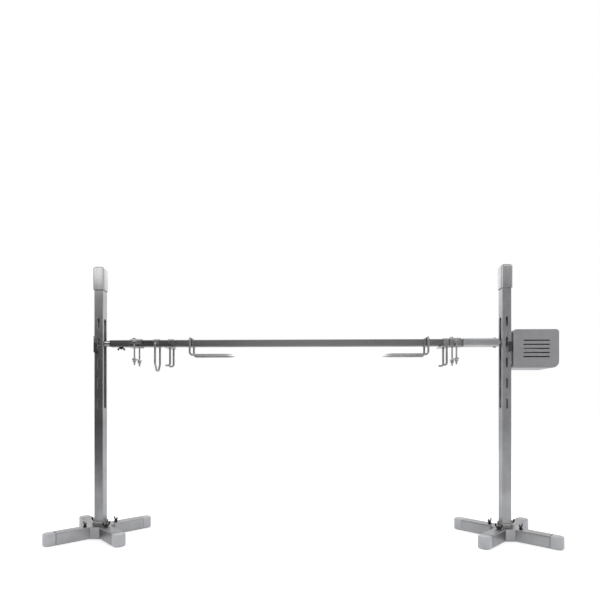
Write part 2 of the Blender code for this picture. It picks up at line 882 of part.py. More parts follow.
def power_inlet(name):
    """The appliance inlet: a flanged block with its recess, and no lead in it."""
    x, z = inlet_centre()
    back = BOX_BACK + SEAT + COVER_T + SEAT
    flange = prism(
        name,
        [rounded(INLET_W + 4 * INLET_T, INLET_H + INLET_T, INLET_T, 3, (x, z))],
        -back - INLET_T,
        -back,
        ALONG_Y,
    )
    body = block(
        f"{name} body",
        (x - INLET_W / 2, BOX_BACK - 5 * INLET_T, z - INLET_H / 2),
        (x + INLET_W / 2, back + WELD, z + INLET_H / 2),
        helper=True,
    )
    recess = block(
        f"{name} recess",
        (x - INLET_W / 2 + INLET_T, BOX_BACK - 4 * INLET_T, z - INLET_H / 2 + INLET_T),
        (x + INLET_W / 2 - INLET_T, back + 2 * INLET_T, z + INLET_H / 2 - INLET_T),
        helper=True,
    )
    return finish(baked(cut(join(flange, body), recess)), black_plastic())


def power_switch(name):
    """A rocker whose two faces meet in a shallow V. The origin is on its rocking axis, which runs along Y."""
    half_h = SWITCH_H / 2 - SWITCH_LIP
    half_w = SWITCH_W / 2 - SWITCH_LIP
    proud, shallow = SWITCH_PROUD, SWITCH_PROUD * 0.45
    depth = SWITCH_BODY_L * 0.6
    root = half_h * 0.35
    outline = [(-depth, -root), (shallow, -half_h), (shallow, 0), (proud, half_h), (-depth, root)]
    return finish(prism(name, [outline], -half_w, half_w, ALONG_Y), black_plastic())


def switch_bezel(name):
    """The frame that the rocker sits in, clipped into the housing's outer side."""
    y, z = switch_centre()
    right = BOX_START + BOX_W
    frame = block(
        name,
        (right - SWITCH_BODY_L, y - SWITCH_W / 2, z - SWITCH_H / 2),
        (right + SWITCH_LIP / 2, y + SWITCH_W / 2, z + SWITCH_H / 2),
    )
    opening = block(
        f"{name} opening",
        (right - SWITCH_BODY_L + SWITCH_LIP, y - SWITCH_W / 2 + SWITCH_LIP - SLIDE, z - SWITCH_H / 2 + SWITCH_LIP / 2),
        (right + SWITCH_LIP, y + SWITCH_W / 2 - SWITCH_LIP + SLIDE, z + SWITCH_H / 2 - SWITCH_LIP / 2),
        helper=True,
    )
    return finish(baked(cut(frame, opening)), black_plastic())


def gearbox(name):
    """The cast gearbox against the housing's inner side. Its boss reaches through the wall and the saddle."""
    start = BOX_START + BOX_WALL + SEAT
    low, high = GEARBOX_HEIGHT
    front, back = GEARBOX_DEPTH
    case = block(name, (start, front, low), (start + GEARBOX_L, back, high))
    bevel(case, 0.004, 2)
    boss = rod(
        f"{name} boss",
        GEARBOX_BOSS_R,
        (POST_HALF + 2 * SLIDE, 0, 0),
        (start + WELD, 0, 0),
        helper=True,
        steps=ROUND_STEPS,
    )
    bore = rod(
        f"{name} bore",
        SHAFT_R + SLIDE,
        (0, 0, 0),
        (BOX_START + SHAFT_INSIDE_BOX + SLIDE, 0, 0),
        helper=True,
        steps=ROUND_STEPS,
    )
    return finish(baked(cut(join(case, boss), bore)), cast_metal())


def drive_motor(name):
    """The motor behind the gearbox: a ribbed can between two end bells."""
    start = BOX_START + BOX_WALL + SEAT + GEARBOX_L + SEAT
    bell = MOTOR_L * 0.14
    neck = MOTOR_R * 0.86
    end = start + MOTOR_L
    profile = [
        (0, end),
        (MOTOR_R * 0.5, end),
        (neck, end - bell * 0.4),
        (neck, end - bell),
        (MOTOR_R, end - bell),
        (MOTOR_R, start + bell),
        (neck, start + bell),
        (neck, start),
        (0, start),
    ]
    return finish(turned(name, profile, ROUND_STEPS, "X"), cast_metal())


# ---------------------------------------------------------------- spit


def spit_tube(name):
    """The square tube, open at both ends, with a hole below for the lock screw."""
    inner = SPIT_W - 2 * SPIT_WALL
    tube = prism(
        name,
        [rounded(SPIT_W, SPIT_W, SPIT_CORNER, 2), rounded(inner, inner, SPIT_CORNER * 0.4, 2)],
        SPIT_LEFT,
        SPIT_RIGHT,
        ALONG_X,
    )
    hole = rod(
        f"{name} screw hole",
        SCREW_R + SCREW_PLAY,
        (LOCK_SCREW_X, 0, -SPIT_W),
        (LOCK_SCREW_X, 0, -SPIT_HALF + SPIT_WALL + WELD),
        helper=True,
    )
    return finish(baked(cut(tube, hole)), spit_steel())


def spit_journal(name):
    """The plug in the spit's left end, its shoulder, and the round journal that turns in the bush."""
    inner = SPIT_W - 2 * SPIT_WALL - 2 * SLIDE
    plug = prism(name, [rounded(inner, inner, SPIT_CORNER * 0.4, 2)], SPIT_LEFT - WELD, SPIT_LEFT + PLUG_L, ALONG_X)
    shoulder_in = SPIT_LEFT - SEAT
    shoulder_out = shoulder_in - SHOULDER_L
    tip = -POST_SPACING / 2 + POST_HALF + SEAT + CUP_L - JOURNAL_L + SLIDE
    shoulder = rod(f"{name} shoulder", SHOULDER_R, (shoulder_out, 0, 0), (shoulder_in, 0, 0), True, ROUND_STEPS)
    journal = rod(f"{name} journal", JOURNAL_R, (tip, 0, 0), (shoulder_out + WELD, 0, 0), True, ROUND_STEPS)
    return finish(baked(join(plug, shoulder, journal)), zinc())


def drive_socket(name):
    """The square sleeve that drives the spit, closed at its right end by a boss bored for the shaft."""
    bore = SPIT_W + 2 * SLIDE
    outer = bore + 2 * DRIVE_WALL
    sleeve = prism(name, [rounded(outer, outer, SPIT_CORNER + DRIVE_WALL, 2)], DRIVE_LEFT, DRIVE_RIGHT, ALONG_X)
    inside = DRIVE_RIGHT - DRIVE_BOSS_L
    hollow = prism(
        f"{name} hollow", [rounded(bore, bore, SPIT_CORNER, 2)], DRIVE_LEFT - WELD, inside, ALONG_X, helper=True
    )
    shaft_bore = rod(
        f"{name} shaft bore", SHAFT_R + SLIDE, (inside - WELD, 0, 0), (DRIVE_RIGHT + WELD, 0, 0), True, ROUND_STEPS
    )
    return finish(baked(cut(sleeve, hollow, shaft_bore, cross_hole(name))), spit_steel())


def cross_hole(name):
    """The hole for the cross bolt through the boss and the shaft."""
    x = DRIVE_RIGHT - DRIVE_BOSS_L / 2
    return rod(f"{name} cross hole", CROSS_BOLT_R + SLIDE, (x, 0, -SPIT_W), (x, 0, SPIT_W), helper=True)


def drive_shaft(name):
    """The motor's output shaft, through the post and into the socket's boss."""
    start = DRIVE_RIGHT - DRIVE_BOSS_L + SEAT
    end = POST_SPACING / 2 + BOX_START + SHAFT_INSIDE_BOX
    shaft = rod(name, SHAFT_R, (start, 0, 0), (end, 0, 0), steps=ROUND_STEPS)
    return finish(baked(cut(shaft, cross_hole(name))), zinc())


def cross_bolt(name):
    """The bolt that pins the socket to the shaft, with its nut below."""
    seat = SPIT_HALF + SLIDE + DRIVE_WALL + SEAT
    profile = [
        (0, seat + CROSS_BOLT_HEAD_H),
        (CROSS_BOLT_HEAD_R, seat + CROSS_BOLT_HEAD_H),
        (CROSS_BOLT_HEAD_R, seat),
        (CROSS_BOLT_R, seat),
        (CROSS_BOLT_R, -seat),
        (CROSS_BOLT_HEAD_R, -seat),
        (CROSS_BOLT_HEAD_R, -seat - CROSS_BOLT_HEAD_H),
        (0, -seat - CROSS_BOLT_HEAD_H),
    ]
    return finish(turned(name, profile, 6), zinc())


# ---------------------------------------------------------------- holders on the spit


def collar(name, length, wall):
    """A square sleeve that slides on the spit, centred on the origin."""
    outer = COLLAR_BORE + 2 * wall
    outlines = [rounded(outer, outer, SPIT_CORNER + wall, 2), rounded(COLLAR_BORE, COLLAR_BORE, SPIT_CORNER, 2)]
    return prism(name, outlines, -length / 2, length / 2, ALONG_X)


def screw_hole(name, wall):
    """The hole in a collar's back wall for its wing screw."""
    inside = COLLAR_BORE / 2
    return rod(
        f"{name} screw hole", SCREW_R + SCREW_PLAY, (0, inside - WELD, 0), (0, inside + wall + WELD, 0), helper=True
    )


def fork(name, inward):
    """A collar with one rod bent over it: two legs down its sides, then two prongs towards the roast."""
    over = COLLAR_BORE / 2 + COLLAR_WALL + ROD_R - WELD
    half = FORK_GAP / 2
    tip = inward * FORK_PRONG_L
    corners = [
        (tip, -half, -FORK_DROP),
        (0, -half, -FORK_DROP),
        (0, -half, over),
        (0, half, over),
        (0, half, -FORK_DROP),
        (tip, half, -FORK_DROP),
    ]
    prongs = bent_rod(f"{name} rod", bent_route(corners, 3 * ROD_R), ROD_R, FORK_TIP_L, helper=True)
    body = collar(name, FORK_COLLAR_L, COLLAR_WALL)
    return finish(baked(cut(join(body, prongs), screw_hole(name, COLLAR_WALL))), steel())


def fork_screw(name):
    """The wing screw on the back of a fork's collar, which points at the spit."""
    return wing_screw(name, COLLAR_WALL + SLIDE, FORK_WING_SPAN, SPIT_WING_H)


def leg_clamp(name):
    """A long collar with an ear and a stud on each side, and its own tightening screw on top."""
    body = collar(name, CLAMP_COLLAR_L, CLAMP_WALL)
    side = COLLAR_BORE / 2 + CLAMP_WALL
    reach = STUD_GAP / 2 + 2 * SCREW_R
    for sy in (-1, 1):
        near, far = sorted((sy * (side - WELD), sy * reach))
        ear = block(f"{name} ear {sy}", (-EAR_L / 2, near, -EAR_H / 2), (EAR_L / 2, far, EAR_H / 2), helper=True)
        y = sy * STUD_GAP / 2
        stud = rod(f"{name} stud {sy}", SCREW_R, (0, y, -STUD_DROP), (0, y, EAR_H), helper=True)
        nut = rod(f"{name} nut {sy}", SCREW_R * 1.7, (0, y, EAR_H / 2 - WELD), (0, y, EAR_H), helper=True, steps=6)
        join(body, ear, stud, nut)
    head_x = -CLAMP_COLLAR_L * 0.25
    head = rod(
        f"{name} screw", 2 * SCREW_R, (head_x, 0, side - WELD), (head_x, 0, side + 1.5 * SCREW_R), True, 6
    )
    return finish(baked(join(body, head)), steel())


def clamp_bar(name):
    """The bar under a leg clamp, with the two nuts that draw it up the studs."""
    half = STUD_GAP / 2
    end = half + BAR_OVERHANG
    outline = rounded(BAR_W, 2 * end, BAR_W * 0.3, 2)
    bar = prism(name, [outline], -BAR_T, 0)
    for sy in (-1, 1):
        y = sy * half
        nut = rod(f"{name} nut {sy}", BAR_NUT_R, (0, y, -BAR_T - BAR_NUT_H), (0, y, WELD - BAR_T), helper=True, steps=6)
        join(bar, nut)
    for sy in (-1, 1):
        y = sy * half
        bore = rod(f"{name} bore {sy}", SCREW_R + SLIDE, (0, y, -BAR_T - 2 * BAR_NUT_H), (0, y, BAR_T), helper=True)
        cut(bar, bore)
    return finish(baked(bar), zinc())


def leg_hook(name):
    """A collar with a plate under it and two rods that hang from the plate and turn out at the bottom."""
    body = collar(name, FORK_COLLAR_L, COLLAR_WALL)
    under = COLLAR_BORE / 2 + COLLAR_WALL - WELD
    half = HOOK_GAP / 2 + 2 * ROD_R
    right = 2 * ROD_R
    plate = block(
        f"{name} plate", (right - HOOK_PLATE_L, -half, -under - HOOK_PLATE_T), (right, half, -under), helper=True
    )
    join(body, plate)
    for sy in (-1, 1):
        y = sy * HOOK_GAP / 2
        corners = [(0, y, -under - WELD), (0, y, -HOOK_DROP), (-HOOK_TOE_L, y, -HOOK_DROP)]
        join(body, bent_rod(f"{name} rod {sy}", bent_route(corners, 2 * ROD_R), ROD_R, helper=True))
    return finish(baked(body), steel())


def leg_loop(name):
    """A collar with a rod loop that hangs below the spit and narrows towards the bottom."""
    body = collar(name, LOOP_COLLAR_L, COLLAR_WALL)
    side = COLLAR_BORE / 2 + COLLAR_WALL - WELD
    half, narrow = LOOP_GAP / 2, LOOP_NARROW / 2
    waist = -LOOP_DROP * 0.72
    corners = [
        (0, -side, 0),
        (0, -half, 0),
        (0, -half, waist),
        (0, -narrow, ROD_R - LOOP_DROP),
        (0, narrow, ROD_R - LOOP_DROP),
        (0, half, waist),
        (0, half, 0),
        (0, side, 0),
    ]
    loop = bent_rod(f"{name} rod", bent_route(corners, 1.8 * ROD_R), ROD_R, helper=True)
    return finish(baked(join(body, loop)), steel())


# ---------------------------------------------------------------- assembly


def build_stands(origin):
    for side, sign in (("left", -1), ("right", 1)):
        stand = empty(f"{side}_stand", (sign * POST_SPACING / 2, 0, 0), origin)
        place(post(f"{side}_post"), stand)
        place(post_cap(f"{side}_post_cap"), stand)
        feet(side, stand)


def build_bearing(origin):
    carriage = empty("bearing_carriage", (-POST_SPACING / 2, 0, AXIS_Z), origin)
    half = BEARING_SADDLE_H / 2
    place(saddle("bearing_saddle", -1, -half, half, CARRIER_R + SLIDE), carriage)
    place(bearing_carrier("bearing_carrier"), carriage)
    place(bearing_bush("bearing_bush"), carriage)
    place(lock_lever("left_lock_lever"), carriage, (-LEVER_OFFSET, -WEB_OUT, -LEVER_DROP))


def build_motor(origin):
    carriage = empty("motor_carriage", (POST_SPACING / 2, 0, AXIS_Z), origin)
    low, high = MOTOR_SADDLE_BOTTOM - AXIS_Z, MOTOR_SADDLE_TOP - AXIS_Z
    place(saddle("motor_saddle", 1, low, high, GEARBOX_BOSS_R + 2 * SLIDE), carriage)
    place(lock_lever("right_lock_lever"), carriage, (LEVER_OFFSET, -WEB_OUT, -LEVER_DROP))
    place(motor_housing("motor_housing"), carriage)
    place(back_cover("back_cover"), carriage)
    place(power_inlet("power_inlet"), carriage)
    place(switch_bezel("switch_bezel"), carriage)
    y, z = switch_centre()
    place(power_switch("power_switch"), carriage, (BOX_START + BOX_W, y, z))
    place(gearbox("gearbox"), carriage)
    place(drive_motor("drive_motor"), carriage, (0, MOTOR_BACK, -MOTOR_DROP))


def build_spit(origin):
    axis = empty("spit_axis", (0, 0, AXIS_Z), origin)
    place(spit_tube("spit_tube"), axis)
    place(spit_journal("spit_journal"), axis)
    below = -SPIT_HALF - SEAT
    lock_screw = wing_screw("journal_lock_screw", SPIT_WALL, WING_SPAN, WING_H)
    place(lock_screw, axis, (LOCK_SCREW_X, 0, below), (math.pi, 0, 0))
    place(drive_socket("drive_socket"), axis)
    place(drive_shaft("drive_shaft"), axis)
    place(cross_bolt("socket_cross_bolt"), axis, (DRIVE_RIGHT - DRIVE_BOSS_L / 2, 0, 0))
    behind = COLLAR_BORE / 2 + COLLAR_WALL + SEAT
    for side, x, inward in (("left", SPIT_LEFT + LEFT_FORK_AT, 1), ("right", DRIVE_LEFT - RIGHT_FORK_AT, -1)):
        holder = empty(f"{side}_fork_slide", (x, 0, 0), axis)
        place(fork(f"{side}_fork", inward), holder)
        place(fork_screw(f"{side}_fork_screw"), holder, (0, behind, 0), (-math.pi / 2, 0, 0))
    for side, x in (("left", SPIT_LEFT + LEFT_CLAMP_AT), ("right", DRIVE_LEFT - RIGHT_CLAMP_AT)):
        holder = empty(f"{side}_clamp_slide", (x, 0, 0), axis)
        place(leg_clamp(f"{side}_leg_clamp"), holder)
        place(clamp_bar(f"{side}_clamp_bar"), holder, (0, 0, BAR_T - BAR_DROP))
    for side, x in (("left", SPIT_LEFT + LEFT_HOOK_AT), ("right", DRIVE_LEFT - RIGHT_HOOK_AT)):
        place(leg_hook(f"{side}_leg_hook"), axis, (x, 0, 0))
    place(leg_loop("leg_loop"), axis, (SPIT_LEFT + LOOP_AT, 0, 0))


def main():
    clear_scene()
    origin = empty("roaster_frame", (MIDDLE_X, 0, 0))
    build_stands(origin)
    build_bearing(origin)
    build_motor(origin)
    build_spit(origin)


main()
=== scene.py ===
"""Finishes the spit roaster for a picture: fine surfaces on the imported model, materials and the studio."""

import math

import bmesh
import bpy
import numpy as np
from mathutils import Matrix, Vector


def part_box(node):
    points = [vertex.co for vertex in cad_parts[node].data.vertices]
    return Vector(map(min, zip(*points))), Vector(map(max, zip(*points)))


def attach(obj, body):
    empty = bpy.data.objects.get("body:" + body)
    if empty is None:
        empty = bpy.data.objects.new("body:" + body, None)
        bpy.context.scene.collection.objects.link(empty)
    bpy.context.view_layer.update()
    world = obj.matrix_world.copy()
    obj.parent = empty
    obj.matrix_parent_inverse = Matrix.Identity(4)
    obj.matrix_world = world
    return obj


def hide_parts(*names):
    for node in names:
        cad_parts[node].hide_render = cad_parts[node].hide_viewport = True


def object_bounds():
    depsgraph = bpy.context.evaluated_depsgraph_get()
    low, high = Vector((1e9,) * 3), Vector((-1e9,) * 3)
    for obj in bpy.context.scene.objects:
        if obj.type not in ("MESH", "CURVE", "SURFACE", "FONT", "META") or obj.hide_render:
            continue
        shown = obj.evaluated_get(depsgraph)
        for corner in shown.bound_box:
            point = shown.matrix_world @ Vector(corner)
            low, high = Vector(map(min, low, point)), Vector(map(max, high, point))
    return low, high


bl_info = {
    "name": "Spit Roaster Finish",
    "version": (1, 0, 0),
    "blender": (4, 5, 0),
    "location": "View3D > Sidebar > Roaster",
    "description": "Finishes a motor-driven spit roaster with welds, threads, screws and brushed steel",
    "category": "Object",
}

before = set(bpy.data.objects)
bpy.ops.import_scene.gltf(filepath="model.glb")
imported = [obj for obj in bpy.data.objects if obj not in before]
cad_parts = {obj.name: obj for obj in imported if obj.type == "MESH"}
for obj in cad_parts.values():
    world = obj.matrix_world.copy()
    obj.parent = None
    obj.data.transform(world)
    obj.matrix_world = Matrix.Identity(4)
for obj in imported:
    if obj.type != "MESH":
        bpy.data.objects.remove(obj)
CAD_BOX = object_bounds()
FEET = [f"{side}_{place}" for side in ("left", "right") for place in
        ("front_left", "front_right", "back_left", "back_right")]
PATH_STEP = 0.004  # the furthest that the points of a bent rod's path lie apart


# ---------------------------------------------------------------- sizes and colours


def length(name, description, default):
    return bpy.props.FloatProperty(name=name, description=description, default=default, min=0.0,
                                   subtype="DISTANCE", unit="LENGTH", precision=5)


def colour(name, description, default):
    return bpy.props.FloatVectorProperty(name=name, description=description, default=default, size=3,
                                         min=0.0, max=1.0, subtype="COLOR")


class RoasterSizes(bpy.types.PropertyGroup):
    """Sizes that the frame's boxes don't give."""

    rod: length("Rod radius", "Radius of the bent rods", 0.0045)
    rod_bend: length("Rod bend", "Middle radius of a fork's bends", 0.0135)
    tip: length("Prong tip", "Length over which a prong is pointed", 0.032)
    collar: length("Collar length", "Length of a fork's or hook's collar", 0.024)
    loop_collar: length("Loop collar length", "Length of the loop's collar", 0.026)
    collar_wall: length("Collar wall", "Wall of a fork's or hook's collar", 0.003)
    clamp_wall: length("Clamp wall", "Wall of a leg clamp's collar", 0.0045)
    bore: length("Collar bore", "Width of the square hole of a collar", 0.0308)
    corner: length("Spit corner", "Corner radius of the spit and of a collar's bore", 0.003)
    stud: length("Stud radius", "Radius of a stud or screw over its thread", 0.004)
    pitch: length("Thread pitch", "Pitch of the studs and screws", 0.00125)
    bead: length("Weld bead", "Radius of a weld bead", 0.0016)
    wing: length("Wing thickness", "Thickness of a screw's wings at their root", 0.0052)
    foot_bolt: length("Foot bolt", "Length of a foot bolt under its flange", 0.012)
    post_corner: length("Post corner", "Corner radius of a post", 0.0025)
    cap_round: length("Post cap crown", "Radius round the top of a post cap", 0.012)
    cap_wall: length("Post cap wall", "Wall of a post cap", 0.004)
    arm: length("Arm width", "Width of an arm", 0.050)
    arm_reach: length("Arm reach", "Post axis to the tip of an arm", 0.232)
    end_cap: length("End cap length", "Length of an arm's end cap", 0.045)
    end_round: length("End cap corner", "Radius of an end cap's two outer corners", 0.020)
    end_edge: length("End cap edge", "Radius round an end cap's top and bottom", 0.006)
    screw: length("Screw head", "Radius of a small pan-head screw", 0.0042)
    louvre_lip: length("Louvre lip", "Radius of the lip pressed round a louvre", 0.0009)
    louvre: length("Louvre length", "Length of a louvre over its round ends", 0.114)
    louvre_height: length("Louvre height", "Height of a louvre's opening", 0.006)
    louvre_pitch: length("Louvre pitch", "Height from one louvre to the next", 0.0178)
    louvre_start: length("Louvre start", "Left side of the housing to the louvres", 0.043)
    cover_screw: length("Cover screw inset", "Sides of the back cover to its screws", 0.012)
    foot_wings: length("Foot bolt wings", "Width over the wings of a foot's or the journal's screw", 0.034)
    fork_wings: length("Fork screw wings", "Width over the wings of a fork's screw", 0.026)


class RoasterColours(bpy.types.PropertyGroup):
    """Base colours of the finishes."""

    steel: colour("Steel", "Satin stainless steel of the posts", (0.35, 0.35, 0.353))
    arms: colour("Arms", "Satin stainless steel of the feet", (0.33, 0.33, 0.335))
    cap: colour("Caps", "Brighter steel of the post caps", (0.38, 0.38, 0.382))
    spit: colour("Spit steel", "Darker drawn steel of the spit", (0.175, 0.175, 0.177))
    socket: colour("Drive socket", "Satin steel of the drive socket", (0.44, 0.44, 0.44))
    holders: colour("Holders", "Bright steel of the forks, hooks and clamps", (0.33, 0.33, 0.326))
    zinc: colour("Fasteners", "Plated screws and turned parts", (0.40, 0.40, 0.39))
    dark_bolts: colour("Wing bolts", "Blackened wing bolts of the feet and journal", (0.045, 0.045, 0.047))
    housing: colour("Housing", "Half-gloss grey paint of the motor housing", (0.27, 0.266, 0.272))
    end_caps: colour("End caps", "Silver-grey plastic of the arms' ends", (0.44, 0.44, 0.44))
    black: colour("Black plastic", "Levers, switch and inlet", (0.018, 0.018, 0.019))
    bronze: colour("Bronze", "Bearing bush", (0.48, 0.30, 0.12))
    cast: colour("Cast metal", "Gearbox and motor", (0.42, 0.42, 0.43))
    backdrop: colour("Backdrop", "Floor round the roaster", (0.80, 0.80, 0.80))


def sizes():
    return bpy.context.scene.roaster_sizes


def colours():
    return bpy.context.scene.roaster_colours


# ---------------------------------------------------------------- surfaces from numpy


def quads(rows, columns, wrap_rows, wrap_columns, first):
    """Corner numbers of the quads of a grid: each joins a point to its right and lower neighbours."""
    row = np.arange(rows if wrap_rows else rows - 1)[:, None]
    column = np.arange(columns if wrap_columns else columns - 1)[None, :]
    this, below, beside = row * columns, (row + 1) % rows * columns, (column + 1) % columns
    corners = np.broadcast_arrays(this + column, this + beside, below + beside, below + column)
    return first + np.stack(corners, -1).reshape(-1, 4)


def linked(name, data):
    """A new object with this data, in the scene."""
    obj = bpy.data.objects.new(name, data)
    bpy.context.scene.collection.objects.link(obj)
    return obj


def surface_object(name, sheets, angle):
    """One object from several grids, each (points, wrap_rows, wrap_columns). Poles and seams are merged,
    faces turned outwards, and edges sharper than the angle kept sharp."""
    points, faces, count = [], [], 0
    for grid, wrap_rows, wrap_columns in sheets:
        rows, columns = grid.shape[:2]
        faces.append(quads(rows, columns, wrap_rows, wrap_columns, count))
        points.append(grid.reshape(-1, 3))
        count += rows * columns
    points, faces = np.concatenate(points), np.concatenate(faces)
    mesh = bpy.data.meshes.new(name)
    mesh.vertices.add(len(points))
    mesh.vertices.foreach_set("co", points.astype(np.float32).ravel())
    mesh.loops.add(faces.size)
    mesh.loops.foreach_set("vertex_index", faces.astype(np.int32).ravel())
    mesh.polygons.add(len(faces))
    mesh.polygons.foreach_set("loop_start", np.arange(0, faces.size, 4, dtype=np.int32))
    mesh.update(calc_edges=True)
    bm = bmesh.new()
    bm.from_mesh(mesh)
    bmesh.ops.remove_doubles(bm, verts=bm.verts, dist=2e-6)
    bmesh.ops.dissolve_degenerate(bm, edges=bm.edges, dist=1e-6)
    bmesh.ops.recalc_face_normals(bm, faces=bm.faces)
    bm.to_mesh(mesh)
    bm.free()
    mesh.shade_smooth()
    mesh.set_sharp_from_angle(angle=math.radians(angle))
    return linked(name, mesh)


def turned_to(grid, axis):
    """Points whose Z axis is laid along another axis, by the rotation that takes the one to the other."""
    axis = np.asarray(axis, float) / np.linalg.norm(axis)
    side = np.cross((0.0, 1.0, 0.0) if abs(axis[1]) < 0.9 else (1.0, 0.0, 0.0), axis)
    side /= np.linalg.norm(side)
    return grid @ np.stack([side, np.cross(axis, side), axis])


def lathe(profile, steps=40):
    """(radius cos t, radius sin t, height), for t all round and each (radius, height) of a profile."""
    profile = np.asarray(profile, float)
    t = np.linspace(0, 2 * np.pi, steps, endpoint=False)
    radius, height = profile[:, :1], profile[:, 1:]
    return np.stack(np.broadcast_arrays(radius * np.cos(t), radius * np.sin(t), height), -1)


def hexagonal(profile, flat):
    """A lathe whose radius is the lesser of the profile's and a hexagon's, flat / cos(angle off its face)."""
    steps = 48
    grid = lathe(profile, steps)
    t = np.linspace(0, 2 * np.pi, steps, endpoint=False)
    face = (t + np.pi / 6) % (np.pi / 3) - np.pi / 6
    radius = np.maximum(np.linalg.norm(grid[..., :2], axis=-1), 1e-9)
    grid[..., :2] *= np.minimum(1, flat / np.cos(face) / radius)[..., None]
    return grid


def nut(flat, low, high):
    """A hexagon between two heights, chamfered at both ends by a cone through its corners."""
    corner = flat / math.cos(math.pi / 6)
    lip = flat * 0.97
    drop = (corner - lip) * math.tan(math.pi / 6) + flat * 0.024
    profile = [(0, high), (lip, high), (corner, high - drop), (corner, low + drop), (lip, low), (0, low)]
    return hexagonal(profile, flat)


def thread(radius, pitch, low, high):
    """A screw thread. Its radius is the outer one less a triangle wave of height / pitch - angle / full turn,
    and shrinks to nothing at each end."""
    rings_a_turn, steps = 6, 18
    height = np.linspace(low, high, int(rings_a_turn * (high - low) / pitch) + 2)[:, None]
    t = np.linspace(0, 1, steps, endpoint=False)[None, :]
    depth, run_out = 0.55 * pitch, 0.6 * pitch
    wave = np.abs(((height / pitch - t) % 1) * 2 - 1)
    taper = np.clip(np.minimum(height - low, high - height) / run_out, 0, 1)
    r = (radius - depth * wave) * (0.8 + 0.2 * taper)
    r[[0, -1]] = 0
    flat_height = np.broadcast_to(height, r.shape).copy()
    flat_height[0], flat_height[-1] = low, high
    r = np.insert(r, [1, -1], r[[1, -2]], axis=0)
    flat_height = np.insert(flat_height, [1, -1], flat_height[[0, -1]], axis=0)
    angle = 2 * np.pi * t
    return np.stack([r * np.cos(angle), r * np.sin(angle), flat_height], -1)


def swept(path, radius, steps):
    """A round section carried along a path. At each point the ring lies across the path's direction, on two
    axes found by taking a fixed slanted line less its part along the path."""
    path = np.asarray(path, float)
    along = np.gradient(path, axis=0)
    along /= np.linalg.norm(along, axis=1, keepdims=True)
    slant = np.array([0.577, 0.211, 0.789])
    first = slant - along * (along @ slant)[:, None]
    first /= np.linalg.norm(first, axis=1, keepdims=True)
    second = np.cross(along, first)
    t = np.linspace(0, 2 * np.pi, steps, endpoint=False)[None, :, None]
    radius = np.broadcast_to(np.asarray(radius, float), (len(path),))[:, None, None]
    return path[:, None] + radius * (np.cos(t) * first[:, None] + np.sin(t) * second[:, None])


def capped(rings, first, last):
    """Rings closed flat at both ends, each by one more ring that is shrunk to a point."""
    ends = [np.broadcast_to(point, (1, *rings.shape[1:])) for point in (first, last)]
    return np.concatenate([ends[0], rings, ends[1]])


def rod(path, radius, steps=20):
    """A round section carried along a path and closed flat at both ends."""
    return capped(swept(path, radius, steps), path[0], path[-1])


def bent(corners, bend, steps=10):
    """A route through corners, each rounded by an arc: centre + bend (cos a, sin a) in the corner's plane."""
    corners = [np.asarray(c, float) for c in corners]
    pieces, start, straight = [], corners[0], 6
    for before, corner, after in zip(corners, corners[1:], corners[2:]):
        back = (before - corner) / np.linalg.norm(before - corner)
        ahead = (after - corner) / np.linalg.norm(after - corner)
        half = math.acos(float(np.clip(back @ ahead, -1, 1))) / 2
        middle = (back + ahead) / np.linalg.norm(back + ahead)
        tangent = (ahead - back) / np.linalg.norm(ahead - back)
        centre = corner + middle * bend / math.sin(half)
        a = np.linspace(half - np.pi / 2, np.pi / 2 - half, steps + 1)[:, None]
        arc = centre - bend * (np.cos(a) * middle - np.sin(a) * tangent)
        pieces += [start + (arc[0] - start) * np.linspace(0, 1, straight, endpoint=False)[:, None], arc]
        start = arc[-1]
    pieces.append(start + (corners[-1] - start) * np.linspace(0, 1, straight + 1)[1:, None])
    path = np.concatenate(pieces)
    return path[np.append(True, np.diff(run_along(path)) > 1e-6)]


def run_along(path):
    """The length along a path at each of its points."""
    return np.concatenate([[0], np.cumsum(np.linalg.norm(np.diff(path, axis=0), axis=1))])


def pointed(path, radius, tip, both=True):
    """Radius along a path: towards its end, or both ends, it falls as the power 0.75 of the distance left
    over the tip's length, down to 0.08 of the whole."""
    run = run_along(path)
    left = np.minimum(run, run[-1] - run) if both else run[-1] - run
    return radius * np.maximum((left / tip).clip(0, 1) ** 0.75, 0.08)


def finer(path, spacing):
    """The path with points added so that none are further apart than the spacing."""
    run = run_along(path)
    extra = np.linspace(0, run[-1], max(2, int(run[-1] / spacing)))
    all_runs = np.unique(np.concatenate([run, extra]).round(7))
    return np.stack([np.interp(all_runs, run, path[:, i]) for i in range(3)], -1)


def bead(path, radius, ripple=0.0022):
    """A weld bead: a rod whose radius swells and shrinks as the absolute sine of the length along it, and
    narrows at both ends as the root of the distance from them."""
    path = finer(np.asarray(path, float), ripple / 5)
    run = run_along(path)
    swell = 0.82 + 0.22 * np.abs(np.sin(np.pi * run / ripple))
    ends = np.sqrt(np.clip(np.minimum(run, run[-1] - run) / (2 * radius), 0.02, 1))
    return rod(path, radius * swell * ends, 10)


def rounded_square(half, radius, steps=6):
    """Corner arcs of a square: (half - radius) to each side, plus radius (cos t, sin t)."""
    half, radius = (np.asarray(value, float)[..., None, None] for value in (half, radius))
    quarter = np.arange(4)[:, None]
    t, diagonal = (quarter + np.linspace(0, 1, steps + 1)) * np.pi / 2, (quarter + 0.5) * np.pi / 2
    x = np.sign(np.cos(diagonal)) * (half - radius) + radius * np.cos(t)
    y = np.sign(np.sin(diagonal)) * (half - radius) + radius * np.sin(t)
    return np.stack([x, y], -1).reshape(*x.shape[:-2], -1, 2)


def square_rings(levels, halves, radii):
    """Rounded squares one over the other along Z, each with its level, half width and corner radius."""
    rings = rounded_square(halves, radii)
    height = np.broadcast_to(np.asarray(levels)[:, None, None], (*rings.shape[:2], 1))
    return np.concatenate([rings, height], -1)


